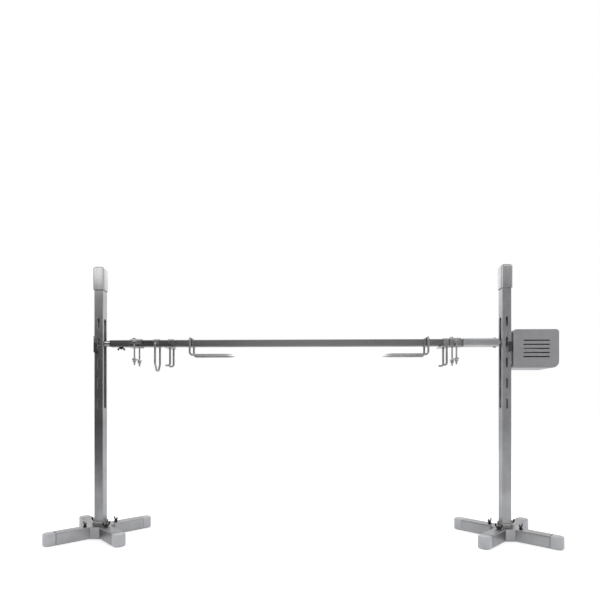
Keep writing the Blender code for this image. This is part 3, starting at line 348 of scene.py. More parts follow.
def sleeve(start, end, outer, bore, corner):
    """A square tube along X. Eight square sections run along its outside and back through its bore, and the
    edges between them are rounded by stepping in by the edge's size."""
    edge, wall, out, inside = 0.0005, (outer - bore) / 2, outer / 2, bore / 2
    x, half = np.array([
        (start, out - edge), (start + edge, out), (end - edge, out), (end, out - edge),
        (end, inside + edge), (end - edge, inside), (start + edge, inside), (start, inside + edge),
    ]).T
    return square_rings(x, half, np.maximum(corner + wall - (out - half), corner * 0.6))[..., [2, 0, 1]]


def pillow(low, high, edge):
    """A block with rounded edges: each point is a corner set in by the edge, plus the edge times a direction
    of a sphere, whose angles bunch at the eight corners."""
    low, high = np.asarray(low, float), np.asarray(high, float)
    steps = 5
    arc = np.linspace(0, np.pi / 2, steps + 1)
    around = (np.arange(4)[:, None] * np.pi / 2 + arc[None, :]).ravel()
    up = np.concatenate([arc - np.pi / 2, arc])[:, None]
    direction = np.broadcast_arrays(np.cos(up) * np.cos(around), np.cos(up) * np.sin(around), np.sin(up))
    quarter, upper = np.repeat(np.arange(4), steps + 1), np.repeat((-1.0, 1.0), steps + 1)[:, None]
    front, left = np.where(quarter % 3 == 0, 1.0, -1.0), np.where(quarter < 2, 1.0, -1.0)
    sign = np.stack(np.broadcast_arrays(front, left, upper), -1)
    grid = (low + high) / 2 + sign * ((high - low) / 2 - edge) + edge * np.stack(direction, -1)
    return capped(grid, grid[0].mean(axis=0), grid[-1].mean(axis=0))


def spun(grid, turn, at):
    """Points turned about Z and moved."""
    c, s = math.cos(turn), math.sin(turn)
    return grid @ np.array([[c, s, 0], [-s, c, 0], [0, 0, 1]]) + np.asarray(at, float)


# ---------------------------------------------------------------- node materials


class Nodes:
    """A node tree, with short ways to add and join nodes."""

    def __init__(self, tree):
        self.tree = tree

    def put(self, value, socket):
        """Joins an output to a socket, or sets the socket to a number, a vector or a colour."""
        if isinstance(value, bpy.types.NodeSocket):
            self.tree.links.new(value, socket)
        else:
            socket.default_value = (*value, 1) if socket.type == "RGBA" else value

    def add(self, kind, inputs=None, **settings):
        """A new node with these settings, and these values or outputs put into its inputs."""
        node = self.tree.nodes.new(f"ShaderNode{kind}")
        for key, value in settings.items():
            setattr(node, key, value)
        for key, value in (inputs or {}).items():
            self.put(value, node.inputs[key])
        return node

    def seen_by(self, *rays):
        """1 for a ray of any of these kinds, and 0 for every other."""
        path = self.add("LightPath")
        seen = path.outputs[rays[0]]
        for ray in rays[1:]:
            seen = self.add("Math", {0: seen, 1: path.outputs[ray]}, operation="MAXIMUM").outputs[0]
        return seen


class Finish(Nodes):
    """A material's nodes, with the patterns and the edge wear that the finishes share."""

    def __init__(self, name, metallic=0.0):
        self.material = bpy.data.materials.new(name)
        self.material.use_nodes = True
        super().__init__(self.material.node_tree)
        self.shader = self.tree.nodes["Principled BSDF"]
        self.give({"Metallic": metallic})

    def give(self, looks):
        """Puts values or outputs on the shader, and returns the material."""
        for key, value in looks.items():
            self.put(value, self.shader.inputs[key])
        return self.material

    def noise(self, scale, detail, roughness=0.55, stretch=(1, 1, 1), turn=0.0):
        """Noise on Object coordinates that are turned about Z, then stretched."""
        place = self.add("TexCoord").outputs["Object"]
        turned = self.add("Mapping", {"Vector": place, "Rotation": (0, 0, -turn)}).outputs[0]
        spread = self.add("Mapping", {"Vector": turned, "Scale": stretch}).outputs[0]
        grain = {"Vector": spread, "Scale": scale, "Detail": detail, "Roughness": roughness}
        return self.add("TexNoise", grain).outputs["Fac"]

    def ranged(self, value, low, high, start=0.3, end=0.7):
        """A value carried from the range start to end over to the range low to high."""
        limits = {"Value": value, "From Min": start, "From Max": end, "To Min": low, "To Max": high}
        return self.add("MapRange", limits).outputs["Result"]

    def mixed(self, factor, first, second):
        """A colour between two, each a colour or an output."""
        return self.add("Mix", {"Factor": factor, 6: first, 7: second}, data_type="RGBA").outputs[2]

    def clouded(self, cloud, dark, pale):
        """A colour between a dark and a pale one, as the cloud goes from low to high."""
        return self.mixed(self.ranged(cloud, 0.0, 1.0), dark, pale)

    def finished(self, body, worn, edge_radius, rough, height, strength, depth):
        """The material: a body colour that turns to the worn one on edges within a radius, a roughness, and a
        height that bumps the rounded normal of those edges."""
        soft = self.add("Bevel", {"Radius": edge_radius}, samples=6).outputs["Normal"]
        face = self.add("NewGeometry").outputs["Normal"]
        facing = self.add("VectorMath", {0: soft, 1: face}, operation="DOT_PRODUCT").outputs["Value"]
        edge = self.ranged(facing, 1.0, 0.0, 0.86, 0.99)
        bump = self.add("Bump", {"Strength": strength, "Distance": depth, "Height": height, "Normal": soft})
        return self.give({"Base Color": self.mixed(edge, body, worn), "Roughness": rough,
                          "Normal": bump.outputs["Normal"]})


def toned(base, amount):
    """A colour times one number, or times a number for each of its three parts."""
    return tuple(np.minimum(1.0, np.multiply(base, amount)))


def brushed_metal(name, base, roughness, grain, turn=0.0, stain=0.82):
    """Brushed steel: streaks along one axis in roughness and bump, broad smudges and bright worn edges."""
    nodes = Finish(name, 1.0)
    stretch = (3.0, 700.0, 700.0) if grain == "X" else (700.0, 700.0, 3.0)
    streak = nodes.noise(1.0, 4.0, 0.65, stretch, turn)
    smudge = nodes.noise(9.0, 5.0, 0.6)
    body = nodes.mixed(nodes.ranged(smudge, 0.0, 1.0, 0.35, 0.65), toned(base, stain), toned(base, 1.08))
    lined = nodes.mixed(nodes.ranged(streak, 0.0, 0.35, 0.35, 0.65), body, toned(base, 0.7))
    rough = nodes.ranged(streak, roughness - 0.07, roughness + 0.11)
    return nodes.finished(lined, toned(base, 1.35), 0.0008, rough, streak, 0.10, 0.0002)


def heated_steel(name, base, roughness):
    """Drawn steel with long streaks, pits, and brown heat stains where it hung over the fire."""
    nodes = Finish(name, 1.0)
    streak = nodes.noise(1.0, 4.0, 0.65, (4.0, 500.0, 500.0))
    stain = nodes.noise(1.0, 6.0, 0.6, (5.0, 16.0, 16.0))
    pits = nodes.noise(900.0, 2.0)
    body = nodes.mixed(nodes.ranged(stain, 0.0, 0.55, 0.48, 0.72), base, toned(base, (0.80, 0.66, 0.52)))
    lined = nodes.mixed(nodes.ranged(streak, 0.0, 0.4), body, toned(base, 0.72))
    rough = nodes.ranged(stain, roughness + 0.12, roughness - 0.06)
    return nodes.finished(lined, toned(base, 1.5), 0.0006, rough, pits, 0.08, 0.0003)


def plated(name, base, roughness):
    """Plating: bright, with small cloudy patches and rubbed edges."""
    nodes = Finish(name, 1.0)
    cloud = nodes.noise(160.0, 4.0, 0.6)
    body = nodes.clouded(cloud, toned(base, 0.78), base)
    rough = nodes.ranged(cloud, roughness + 0.1, roughness - 0.05)
    return nodes.finished(body, toned(base, 1.3), 0.0004, rough, cloud, 0.06, 0.0002)


def painted(name, base):
    """Sprayed half-gloss paint: orange-peel bump, faint clouding, and edges rubbed a little lighter."""
    nodes = Finish(name, 0.35)
    nodes.give({"Coat Weight": 0.15, "Coat Roughness": 0.25})
    peel = nodes.noise(420.0, 2.0)
    body = nodes.clouded(nodes.noise(14.0, 4.0), toned(base, 0.93), toned(base, 1.05))
    return nodes.finished(body, toned(base, 1.28), 0.0010, nodes.ranged(peel, 0.34, 0.46), peel, 0.12, 0.0003)


def moulded(name, base, roughness, grain=700.0):
    """Moulded plastic: fine spark grain, slight clouding and paler rubbed edges."""
    nodes = Finish(name)
    spark = nodes.noise(grain, 2.0)
    body = nodes.clouded(nodes.noise(30.0, 4.0), toned(base, 0.9), toned(base, 1.08))
    worn = tuple(c * 1.12 + 0.012 for c in base)
    rough = nodes.ranged(spark, roughness - 0.06, roughness + 0.08)
    return nodes.finished(body, worn, 0.0006, rough, spark, 0.15, 0.0002)


def cast(name, base):
    """Sand-cast metal: coarse grain in bump, roughness and colour."""
    nodes = Finish(name, 1.0)
    sand = nodes.noise(350.0, 5.0, 0.7)
    body = nodes.clouded(sand, toned(base, 0.8), base)
    return nodes.finished(body, toned(base, 1.25), 0.0012, nodes.ranged(sand, 0.5, 0.7), sand, 0.3, 0.0005)


def burnt_weld(name, base):
    """Weld metal: straw-coloured and dull patches."""
    nodes = Finish(name, 1.0)
    patch = nodes.noise(260.0, 3.0)
    body = nodes.clouded(patch, toned(base, (0.85, 0.74, 0.58)), toned(base, 0.72))
    return nodes.finished(body, toned(base, 1.1), 0.0003, nodes.ranged(patch, 0.34, 0.5), patch, 0.2, 0.0003)


# Each finish: what makes it, its colour's name, and its numbers.
FINISHES = {
    "post steel": (brushed_metal, "steel", 0.33, "Z"),
    "arm steel rising": (brushed_metal, "arms", 0.34, "X", math.radians(45)),
    "arm steel falling": (brushed_metal, "arms", 0.34, "X", math.radians(-45)),
    "cap steel": (brushed_metal, "cap", 0.28, "Z"),
    "spit steel": (heated_steel, "spit", 0.36),
    "socket steel": (brushed_metal, "socket", 0.34, "X"),
    "holder steel": (brushed_metal, "holders", 0.27, "X", 0.0, 0.72),
    "bright plating": (plated, "zinc", 0.25),
    "blackened plating": (plated, "dark_bolts", 0.38),
    "housing paint": (painted, "housing"),
    "end cap plastic": (moulded, "end_caps", 0.38, 900.0),
    "black plastic": (moulded, "black", 0.45),
    "bearing bronze": (plated, "bronze", 0.35),
    "cast metal": (cast, "cast"),
    "weld metal": (burnt_weld, "holders"),
}


def finish_named(name):
    """The finish of this name, made when it is first asked for."""
    if name not in bpy.data.materials:
        maker, colour_name, *numbers = FINISHES[name]
        maker(name, tuple(getattr(colours(), colour_name)), *numbers)
    return bpy.data.materials[name]


# ---------------------------------------------------------------- placing


def corners_of(node):
    """A node's lowest and highest corners at rest, as arrays."""
    low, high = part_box(node)
    return np.array(low), np.array(high)


def middle(node):
    """The middle of a node's box."""
    return sum(corners_of(node)) / 2


def hub_of(foot):
    """The middle of the hub that a foot's arm sits on."""
    return middle(f"{foot.split('_')[0]}_hub")


def spit_height():
    """The height of the spit's axis."""
    return middle("spit_tube")[2]


def dress(node, finish):
    """Gives a CAD node that stays as it is one of the finishes."""
    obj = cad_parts[node]
    if not obj.material_slots:
        obj.data.materials.append(finish_named(finish))
    for slot in obj.material_slots:
        slot.material = finish_named(finish)


def add_piece(name, sheets, finish, body, node=None, angle=35):
    """A finished piece on its body, standing for the CAD node that it replaces, if there is one."""
    obj = surface_object(name, sheets, angle)
    obj.data.materials.append(finish_named(finish))
    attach(obj, body)
    if node:
        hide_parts(node)


def add_holder(node, shape, sheets, beads, at):
    """A holder on the spit: a steel piece that replaces its node, and the welds on it."""
    add_piece(f"{node}_{shape}", moved(sheets, at), "holder steel", node, node)
    add_piece(f"{node}_welds", moved(beads, at), "weld metal", node)


def moved(sheets, at):
    """The sheets with their points moved."""
    return [(grid + at, *wraps) for grid, *wraps in sheets]


def closed(grid):
    """A grid that wraps along its columns only, as a lathe does."""
    return grid, False, True


def looped(grid):
    """A grid that wraps both ways, as a ring does."""
    return grid, True, True


# ---------------------------------------------------------------- operators


class ROASTER_OT_frame_finishes(bpy.types.Operator):
    """Gives brushed steel, paint, plastic and cast metal to the CAD pieces that stay as they are"""

    bl_idname = "roaster.frame_finishes"
    bl_label = "Frame finishes"

    def execute(self, context):
        looks = {
            "post steel": ["left_post", "right_post", "left_hub", "right_hub", "bearing_saddle",
                           "motor_saddle"],
            "arm steel rising": [f + "_arm" for f in FEET if f.endswith(("front_left", "back_right"))],
            "arm steel falling": [f + "_arm" for f in FEET if f.endswith(("front_right", "back_left"))],
            "spit steel": ["spit_tube"],
            "socket steel": ["drive_socket"],
            "housing paint": ["motor_housing", "back_cover"],
            "black plastic": ["power_inlet", "switch_bezel", "power_switch", "left_lock_lever",
                              "right_lock_lever"],
            "cast metal": ["gearbox", "drive_motor"],
        }
        for finish, nodes in looks.items():
            for node in nodes:
                dress(node, finish)
        return {"FINISHED"}


class ROASTER_OT_post_caps(bpy.types.Operator):
    """Makes the two caps on the posts, with a round crown and a softened lower rim"""

    bl_idname = "roaster.post_caps"
    bl_label = "Post caps"

    def execute(self, context):
        s = sizes()
        edge, roof, centre = 0.0006, 0.022, 0.0005
        arc = np.linspace(0, np.pi / 2, 9)
        for node in ("left_post_cap", "right_post_cap"):
            low, high = corners_of(node)
            half = (high[0] - low[0]) / 2
            bore, ceiling = half - s.cap_wall, high[2] - roof
            stations = [(half - edge, low[2]), (half, low[2] + edge)]
            stations += [(half - s.cap_round * (1 - c), high[2] - s.cap_round * (1 - rise))
                         for c, rise in zip(np.cos(arc), np.sin(arc))]
            stations += [(half * 0.3, high[2]), (centre, high[2]), (centre, ceiling), (bore, ceiling),
                         (bore, low[2] + edge), (bore + edge, low[2])]
            reach, level = np.array(stations).T
            rings = square_rings(level, reach, np.minimum(s.post_corner + s.cap_wall, reach * 0.9))
            sheets = moved([looped(rings)], (*middle(node)[:2], 0))
            add_piece(f"{node}_crowned", sheets, "cap steel", "stands", node, 40)
        return {"FINISHED"}


def end_cap_rings(s, low, high):
    """Rings of an end cap from below to above. Each is its plan outline, two large corners outside and two
    small ones at the tube, moved in by edge (1 - cos a) at edge (1 - sin a) from the top or bottom."""
    arc = np.linspace(0, np.pi / 2, 6)
    drop, inset = s.end_edge * (1 - np.sin(arc)), s.end_edge * (1 - np.cos(arc))
    heights, insets = np.concatenate([low + drop[::-1], high - drop]), np.concatenate([inset[::-1], inset])
    start, end, half = s.arm_reach - s.end_cap, s.arm_reach, s.arm / 2
    outer, inner = s.end_round, 0.0055
    plan = np.array([(end - outer, half - outer, outer), (start + inner, half - inner, inner),
                     (start + inner, inner - half, inner), (end - outer, outer - half, outer)])
    x, y, radius = plan.T[..., None]
    angle = (np.arange(4)[:, None] + np.linspace(0, 1, 9)) * np.pi / 2
    r = np.maximum(radius - insets[:, None, None], 0.0004)
    corners = np.broadcast_arrays(x + r * np.cos(angle), y + r * np.sin(angle), heights[:, None, None])
    rings = np.stack(corners, -1).reshape(len(heights), -1, 3)
    centre = (start + end) / 2
    return capped(rings, (centre, 0, low), (centre, 0, high))


class ROASTER_OT_arm_end_caps(bpy.types.Operator):
    """Makes the rounded plastic cups that close the eight arms, each with a plug that goes into its arm"""

    bl_idname = "roaster.arm_end_caps"
    bl_label = "Arm end caps"

    def execute(self, context):
        s = sizes()
        start, wall, play = s.arm_reach - s.end_cap, 0.0030, 0.0002
        inside = s.arm / 2 - wall - play
        for foot in FEET:
            node = f"{foot}_end_cap"
            low, high = corners_of(node)
            centre = hub_of(foot)
            turn = math.atan2(*(middle(node) - centre)[[1, 0]])
            cup = end_cap_rings(s, low[2], high[2])
            plug = pillow((start - 0.015, -inside, low[2] + wall), (start + 0.002, inside, high[2] - wall),
                          0.0012)
            sheets = [closed(spun(grid, turn, (*centre[:2], 0))) for grid in (cup, plug)]
            add_piece(f"{node}_rounded", sheets, "end cap plastic", "stands", node, 40)
        return {"FINISHED"}


def wing_screw(s, span, top, shank):
    """Grids of a wing screw standing on Z, of this height over its seat: a turned hub and flange, a threaded
    shank below, and two flattened ears swept outwards and upwards as a quarter ellipse."""
    flange, ear_reach, hub_r = 0.003, 0.0042, 0.0056
    hub_h = (top + flange) / 2
    hub = lathe([
        (0, hub_h), (hub_r * 0.62, hub_h), (hub_r * 0.82, hub_h - 0.0006), (hub_r, 0.0040), (0.0072, flange),
        (0.0080, 0.0024), (0.0080, 0.0004), (0.0076, 0), (0, 0),
    ], 32)
    grids = [hub, thread(s.stud, s.pitch, -shank, 0.0004)]
    a = np.linspace(0, np.pi / 2, 9)
    for sign in (-1, 1):
        out = sign * (flange + (span / 2 - 0.0062) * np.sin(a))
        up = 0.0036 + (top - 0.0036 - ear_reach) * (1 - np.cos(a)) * 0.9
        path = np.stack([out, np.zeros_like(a), up], -1)
        path = np.concatenate([path, path[-1:] + (sign * 0.0012, 0, 0.0022)])
        share = np.linspace(0, 1, len(path))
        ear = rod(path, np.interp(share, [0, 0.35, 0.8, 1], [0.0034, 0.0030, ear_reach, 0.0034]))
        ear[..., 1] = (ear[..., 1] - ear[..., 1].mean(axis=1, keepdims=True)) * s.wing / 2 / ear_reach
        grids.append(ear)
    return grids


class ROASTER_OT_wing_screws(bpy.types.Operator):
    """Makes the wing screws of the feet, forks and journal, with ears and threads"""

    bl_idname = "roaster.wing_screws"
    bl_label = "Wing screws"

    def execute(self, context):
        s = sizes()
        for foot in FEET:
            node = f"{foot}_wing_bolt"
            low, high = corners_of(node)
            at = middle(node)
            offset = at - hub_of(foot)
            turn = math.atan2(offset[1], offset[0]) + math.pi / 2
            seat = low[2] + s.foot_bolt
            grids = wing_screw(s, s.foot_wings, high[2] - seat, s.foot_bolt)
            stood = [closed(spun(grid, turn, (at[0], at[1], seat))) for grid in grids]
            add_piece(f"{node}_eared", stood, "blackened plating", node, node, 40)
        for node in ("left_fork_screw", "right_fork_screw"):
            low, high = corners_of(node)
            top = 0.0105
            seat = high[1] - top
            at = (middle(node)[0], seat, spit_height())
            grids = wing_screw(s, s.fork_wings, top, seat - low[1])
            laid = [closed(grid[..., [0, 2, 1]] * (1, 1, -1) + at) for grid in grids]
            add_piece(f"{node}_eared", laid, "bright plating", node, node, 40)
        node, top = "journal_lock_screw", 0.017
        low, high = corners_of(node)
        seat = low[2] + top
        grids = wing_screw(s, s.foot_wings, top, high[2] - seat)
        hung = [closed(grid * (1, -1, -1) + (middle(node)[0], 0, seat)) for grid in grids]
        add_piece(f"{node}_eared", hung, "blackened plating", node, node, 40)
        return {"FINISHED"}


def collar_sheet(s, reach, wall):
    """A holder's square collar, with its middle at the origin and its length along X."""
    return looped(sleeve(-reach / 2, reach / 2, s.bore + 2 * wall, s.bore, s.corner))


def rod_weld(s, centre, upright):
    """The bead round a rod's end: its centre plus 1.08 rod radii times (cos t, sin t), across the rod."""
    t = np.linspace(0, 2 * np.pi, 25)
    across, along, flat = s.rod * 1.08 * np.cos(t), s.rod * 1.08 * np.sin(t), np.zeros(25)
    ring = [across, along, flat] if upright else [across, flat, along]
    return closed(bead(np.stack(ring, -1) + centre, s.bead))


class ROASTER_OT_forks(bpy.types.Operator):
    """Makes the two forks: pointed prongs bent from one rod, a square collar, and the welds between them"""

    bl_idname = "roaster.forks"
    bl_label = "Forks"

    def execute(self, context):
        s = sizes()
        z = spit_height()
        for side, inward in (("left", 1), ("right", -1)):
            node = f"{side}_fork"
            low, high = corners_of(node)
            x = low[0] + s.collar / 2 if inward > 0 else high[0] - s.collar / 2
            tip = (high[0] if inward > 0 else low[0]) - x
            half, over, prong = high[1] - s.rod, high[2] - z - s.rod, low[2] - z + s.rod
            corners = [(tip, -half, prong), (0, -half, prong), (0, -half, over), (0, half, over),
                       (0, half, prong), (tip, half, prong)]
            path = finer(bent(corners, s.rod_bend, 12), PATH_STEP)
            prongs = rod(path, pointed(path, s.rod, s.tip))
            reach = s.bore / 2 + s.collar_wall - 0.003
            aside, level = s.rod * 0.78, over - s.rod * 0.72
            beads = [closed(bead([(across, -reach, level), (across, reach, level)], s.bead))
                     for across in (-aside, aside)]
            sheets = [collar_sheet(s, s.collar, s.collar_wall), closed(prongs)]
            add_holder(node, "pointed", sheets, beads, (x, 0, z))
        return {"FINISHED"}


class ROASTER_OT_leg_hooks(bpy.types.Operator):
    """Makes the two leg hooks: a collar, a plate under it, two bent rods, and a weld round each rod"""

    bl_idname = "roaster.leg_hooks"
    bl_label = "Leg hooks"

    def execute(self, context):
        s = sizes()
        plate_edge, plate_wall, toe, toe_bend, lift = 0.009, 0.003, 0.022, 0.009, 0.0012
        side = s.bore / 2 + s.collar_wall
        for node in ("left_leg_hook", "right_leg_hook"):
            low, high = corners_of(node)
            x, z = high[0] - s.collar / 2, spit_height()
            drop, half = low[2] - z + s.rod, high[1] - 3 * s.rod
            plate = pillow((low[0] - x, -high[1], -side - plate_wall),
                           (plate_edge, high[1], -side + 0.001), 0.0009)
            sheets, beads = [collar_sheet(s, s.collar, s.collar_wall), closed(plate)], []
            for y in (-half, half):
                path = finer(bent([(0, y, -side), (0, y, drop), (-toe, y, drop)], toe_bend), PATH_STEP)
                sheets.append(closed(rod(path, pointed(path, s.rod, 0.003, both=False))))
                beads.append(rod_weld(s, (0, y, -side - plate_wall - 0.0002), True))
            for y in (-side, side):
                beads.append(closed(bead([(-0.010, y, lift - side), (plate_edge, y, lift - side)], s.bead)))
            add_holder(node, "bent", sheets, beads, (x, 0, z))
        return {"FINISHED"}


class ROASTER_OT_leg_loop(bpy.types.Operator):
    """Makes the leg loop: a collar with a rod loop that narrows towards the bottom, welded to its sides"""

    bl_idname = "roaster.leg_loop"
    bl_label = "Leg loop"

    def execute(self, context):
        s = sizes()
        node = "leg_loop"
        low, high = corners_of(node)
        x, z = (low[0] + high[0]) / 2, spit_height()
        wall = s.bore / 2 + s.collar_wall
        side = wall - 0.001
        half, narrow, drop, loop_bend = high[1] - s.rod, 0.013, low[2] - z + s.rod, 0.0081
        waist = drop * 0.746
        corners = [(0, -side, 0), (0, -half, 0), (0, -half, waist), (0, -narrow, drop), (0, narrow, drop),
                   (0, half, waist), (0, half, 0), (0, side, 0)]
        path = finer(bent(corners, loop_bend), PATH_STEP)
        beads = [rod_weld(s, (0, sign * (wall + 0.0004), 0), False) for sign in (-1, 1)]
        sheets = [collar_sheet(s, s.loop_collar, s.collar_wall), closed(rod(path, s.rod))]
        add_holder(node, "bent", sheets, beads, (x, 0, z))
        return {"FINISHED"}


class ROASTER_OT_leg_clamps(bpy.types.Operator):
    """Makes the two leg clamps: collar, ears, threaded studs, nuts and the hexagon screw on top"""

    bl_idname = "roaster.leg_clamps"
    bl_label = "Leg clamps"

    def execute(self, context):
        s = sizes()
        ear_reach, ear_half, edge = 0.012, 0.005, 0.0012
        outer = s.bore / 2 + s.clamp_wall
        for node in ("left_leg_clamp", "right_leg_clamp"):
            low, high = corners_of(node)
            x, z = (low[0] + high[0]) / 2, spit_height()
            half, foot = high[1] - 2 * s.stud, low[2] - z
            body = [looped(sleeve(low[0] - x, high[0] - x, 2 * outer, s.bore, s.corner))]
            bright, beads = [], []
            for sign in (-1, 1):
                near, far = sorted((sign * (outer - 0.001), sign * high[1]))
                body.append(closed(pillow((-ear_reach, near, -ear_half), (ear_reach, far, ear_half), edge)))
                for grid in (thread(s.stud, s.pitch, foot, 0.0098), nut(s.stud * 1.58, ear_half, 0.0088)):
                    bright.append(closed(grid + (0, sign * half, 0)))
                seam, weld_y = ear_reach - 0.0005, sign * (outer + 0.0003)
                beads += [closed(bead([(-seam, weld_y, level), (seam, weld_y, level)], s.bead * 0.8))
                          for level in (-ear_half, ear_half)]
            screw_at = (-(high[0] - low[0]) * 0.25, 0, 0)
            under, top, washer_r = outer - 0.0002, outer + 0.0010, 0.0078
            head = nut(0.0068, outer + 0.0008, high[2] - z)
            washer = lathe([(0, top), (washer_r, top), (washer_r, under), (0, under)])
            bright += [closed(head + screw_at), closed(washer + screw_at)]
            add_piece(f"{node}_body", moved(body, (x, 0, z)), "holder steel", node, node)
            add_piece(f"{node}_studs", moved(bright, (x, 0, z)), "bright plating", node, angle=30)
            add_piece(f"{node}_welds", moved(beads, (x, 0, z)), "weld metal", node)
        return {"FINISHED"}


class ROASTER_OT_clamp_bars(bpy.types.Operator):
    """Makes the bars under the leg clamps, with their washers and tall nuts"""

    bl_idname = "roaster.clamp_bars"
    bl_label = "Clamp bars"

    def execute(self, context):
        bar_wall, washer_wall = 0.005, 0.0016
        washer = lathe([(0, 0.0002), (0.0082, 0.0002), (0.0084, -0.0004), (0.0084, -0.0012),
                        (0.0080, -washer_wall), (0, -washer_wall)])
        for node in ("left_clamp_bar", "right_clamp_bar"):
            low, high = corners_of(node)
            under = high[2] - bar_wall
            sheets = [closed(pillow((low[0], low[1], under), high, 0.0012))]
            for sign in (-1, 1):
                at = ((low[0] + high[0]) / 2, sign * (high[1] - 0.009), under)
                tall_nut = nut(0.0065, low[2] - under, 0.0002 - washer_wall)
                sheets += [closed(tall_nut + at), closed(washer + at)]
            add_piece(f"{node}_nuts", sheets, "bright plating", node, node, 30)
        return {"FINISHED"}


class ROASTER_OT_turned_parts(bpy.types.Operator):
    """Makes the turned parts on the spit's axis: journal, bush, bearing carrier, shaft and cross bolt"""

    bl_idname = "roaster.turned_parts"
    bl_label = "Turned parts"

    def execute(self, context):
        z = spit_height()

        def add_turned(node, finish, body, profile, extra=(), wrap=closed):
            grid = lathe(profile, 48)[..., [2, 0, 1]] + (0, 0, z)
            add_piece(f"{node}_turned", [wrap(grid), *extra], finish, body, node, 30)

        low, high = corners_of("spit_journal")
        neck, inside, shoulder = 0.0080, 0.0121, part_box("spit_tube")[0][0] - 0.0003
        journal = [(0, low[0]), (0.0072, low[0]), (neck, low[0] + 0.0008), (neck, shoulder - 0.0043),
                   (0.0083, shoulder - 0.0040), (0.0128, shoulder - 0.0040), (0.0135, shoulder - 0.0034),
                   (0.0135, shoulder - 0.0005), (0.0130, shoulder), (0, shoulder)]
        plug = pillow((shoulder - 0.001, -inside, z - inside), (high[0], inside, z + inside), 0.0012)
        add_turned("spit_journal", "bright plating", "spit", journal, [closed(plug)])
        low, high = corners_of("bearing_bush")
        bush = [(0.0096, low[0]), (0.0096, high[0] - 0.0003), (0.0093, high[0]), (0.0087, high[0]),
                (0.0084, high[0] - 0.0003), (0.0084, low[0])]
        add_turned("bearing_bush", "bearing bronze", "bearing_carriage", bush, wrap=looped)
        low, high = corners_of("bearing_carrier")
        cup, seat, mouth, nut_face = high[0] - 0.022, high[0] - 0.0200, high[0] - 0.0006, low[0] + 0.004
        carrier = [(0, seat), (0.0100, seat), (0.0100, mouth), (0.0106, high[0]), (0.0129, high[0]),
                   (0.0135, mouth), (0.0135, cup + 0.0006), (0.0129, cup), (0.0094, cup), (0.0094, nut_face),
                   (0, nut_face)]
        head = hexagonal([(0, 0.004), (0.0112, 0.004), (0.0130, 0.0032), (0.0130, 0.0004), (0.0126, 0),
                          (0, 0)], 0.0114)
        tail = closed(head[..., [2, 0, 1]] * (-1, 1, 1) + (nut_face, 0, z))
        add_turned("bearing_carrier", "bright plating", "bearing_carriage", carrier, [tail])
        low, high = corners_of("drive_shaft")
        shaft = [(0, low[0]), (0.0084, low[0]), (0.0090, low[0] + 0.0006), (0.0090, high[0] - 0.0006),
                 (0.0084, high[0]), (0, high[0])]
        add_turned("drive_shaft", "bright plating", "spit", shaft)
        node = "socket_cross_bolt"
        low, high = corners_of(node)
        flat, seat, pin, reach = 0.0048, 0.0185, 0.003, 0.0195
        grids = [nut(flat, seat, high[2] - z), nut(flat, low[2] - z, -seat),
                 lathe([(0, reach), (pin, reach), (pin, -reach), (0, -reach)], 24)]
        bolt = [closed(grid + ((low[0] + high[0]) / 2, 0, z)) for grid in grids]
        add_piece("socket_cross_bolt_hexagonal", bolt, "bright plating", "spit", node, 30)
        return {"FINISHED"}


def pan_head(radius, height):
    """A pan-head screw on Z with a cross recess. Its height over the plane is height (1 - 0.75 share^4), less
    a cross whose depth falls with the distance from either arm's middle line and past the recess's reach."""
    share = np.linspace(0, 1, 14)[:, None]
    t = np.linspace(0, 2 * np.pi, 48, endpoint=False)[None, :]
    x, y = share * radius * np.cos(t), share * radius * np.sin(t)
    top = height * (1 - share**4 * 0.75) * np.ones_like(t)
    arm, recess = radius * 0.17, 0.55
    near = np.minimum(np.abs(x), np.abs(y))
    dip = np.clip((arm - near) / (arm * 0.5), 0, 1) * np.clip((recess - share) / 0.12, 0, 1)
    grid, under = np.stack([x, y, top - 0.6 * height * dip], -1), -0.0002
    rim = np.insert(grid[-1, :, :2], 2, under, axis=1)
    return np.concatenate([grid, rim[None], (rim * (0, 0, 1))[None]])


class ROASTER_OT_small_screws(bpy.types.Operator):
    """Makes the pan-head screws of the saddles, the housing, its back cover and the power inlet"""

    bl_idname = "roaster.small_screws"
    bl_label = "Small screws"

    def execute(self, context):
        s = sizes()
        head = pan_head(s.screw, 0.0022)
        small = pan_head(s.screw * 0.8, 0.0018)

        def add_screws(name, body, head, axis, places):
            sheets = [closed(turned_to(head, axis) + np.asarray(at, float)) for at in places]
            add_piece(name, sheets, "bright plating", body, angle=30)

        low, high = corners_of("motor_housing")
        front = [(low[0] + 0.0095, low[1], z) for z in (high[2] - 0.031, low[2] + 0.038)]
        add_screws("housing_front_screws", "motor_carriage", small, (0, -1, 0), front)
        back, inset, round_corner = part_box("back_cover")[1][1], s.cover_screw, 0.020
        left, right, bottom, top = low[0] + inset, high[0] - inset, low[2] + inset, high[2] - inset
        centre = (low[0] + high[0]) / 2
        corners = [(left, bottom), (left, top), (right, top), (high[0] - round_corner, low[2] + round_corner),
                   (centre, top), (centre, bottom)]
        add_screws("back_cover_screws", "motor_carriage", head, (0, 1, 0), [(x, back, z) for x, z in corners])
        x, _, z = middle("power_inlet")
        rim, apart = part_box("power_inlet")[1][1], 0.0193
        flange = [(x - apart, rim, z), (x + apart, rim, z)]
        add_screws("inlet_screws", "motor_carriage", small * 0.75, (0, 1, 0), flange)
        for node, body in (("bearing_saddle", "bearing_carriage"), ("motor_saddle", "motor_carriage")):
            low, high = corners_of(node)
            x = low[0] + 0.0062 if node == "bearing_saddle" else high[0] - 0.0062
            sheets = [closed(turned_to(small, (0, sign, 0)) + (x, y, z))
                      for sign, y in ((-1, low[1]), (1, high[1])) for z in (low[2] + 0.009, high[2] - 0.009)]
            add_piece(f"{node}_screws", sheets, "bright plating", body, angle=30)
        return {"FINISHED"}


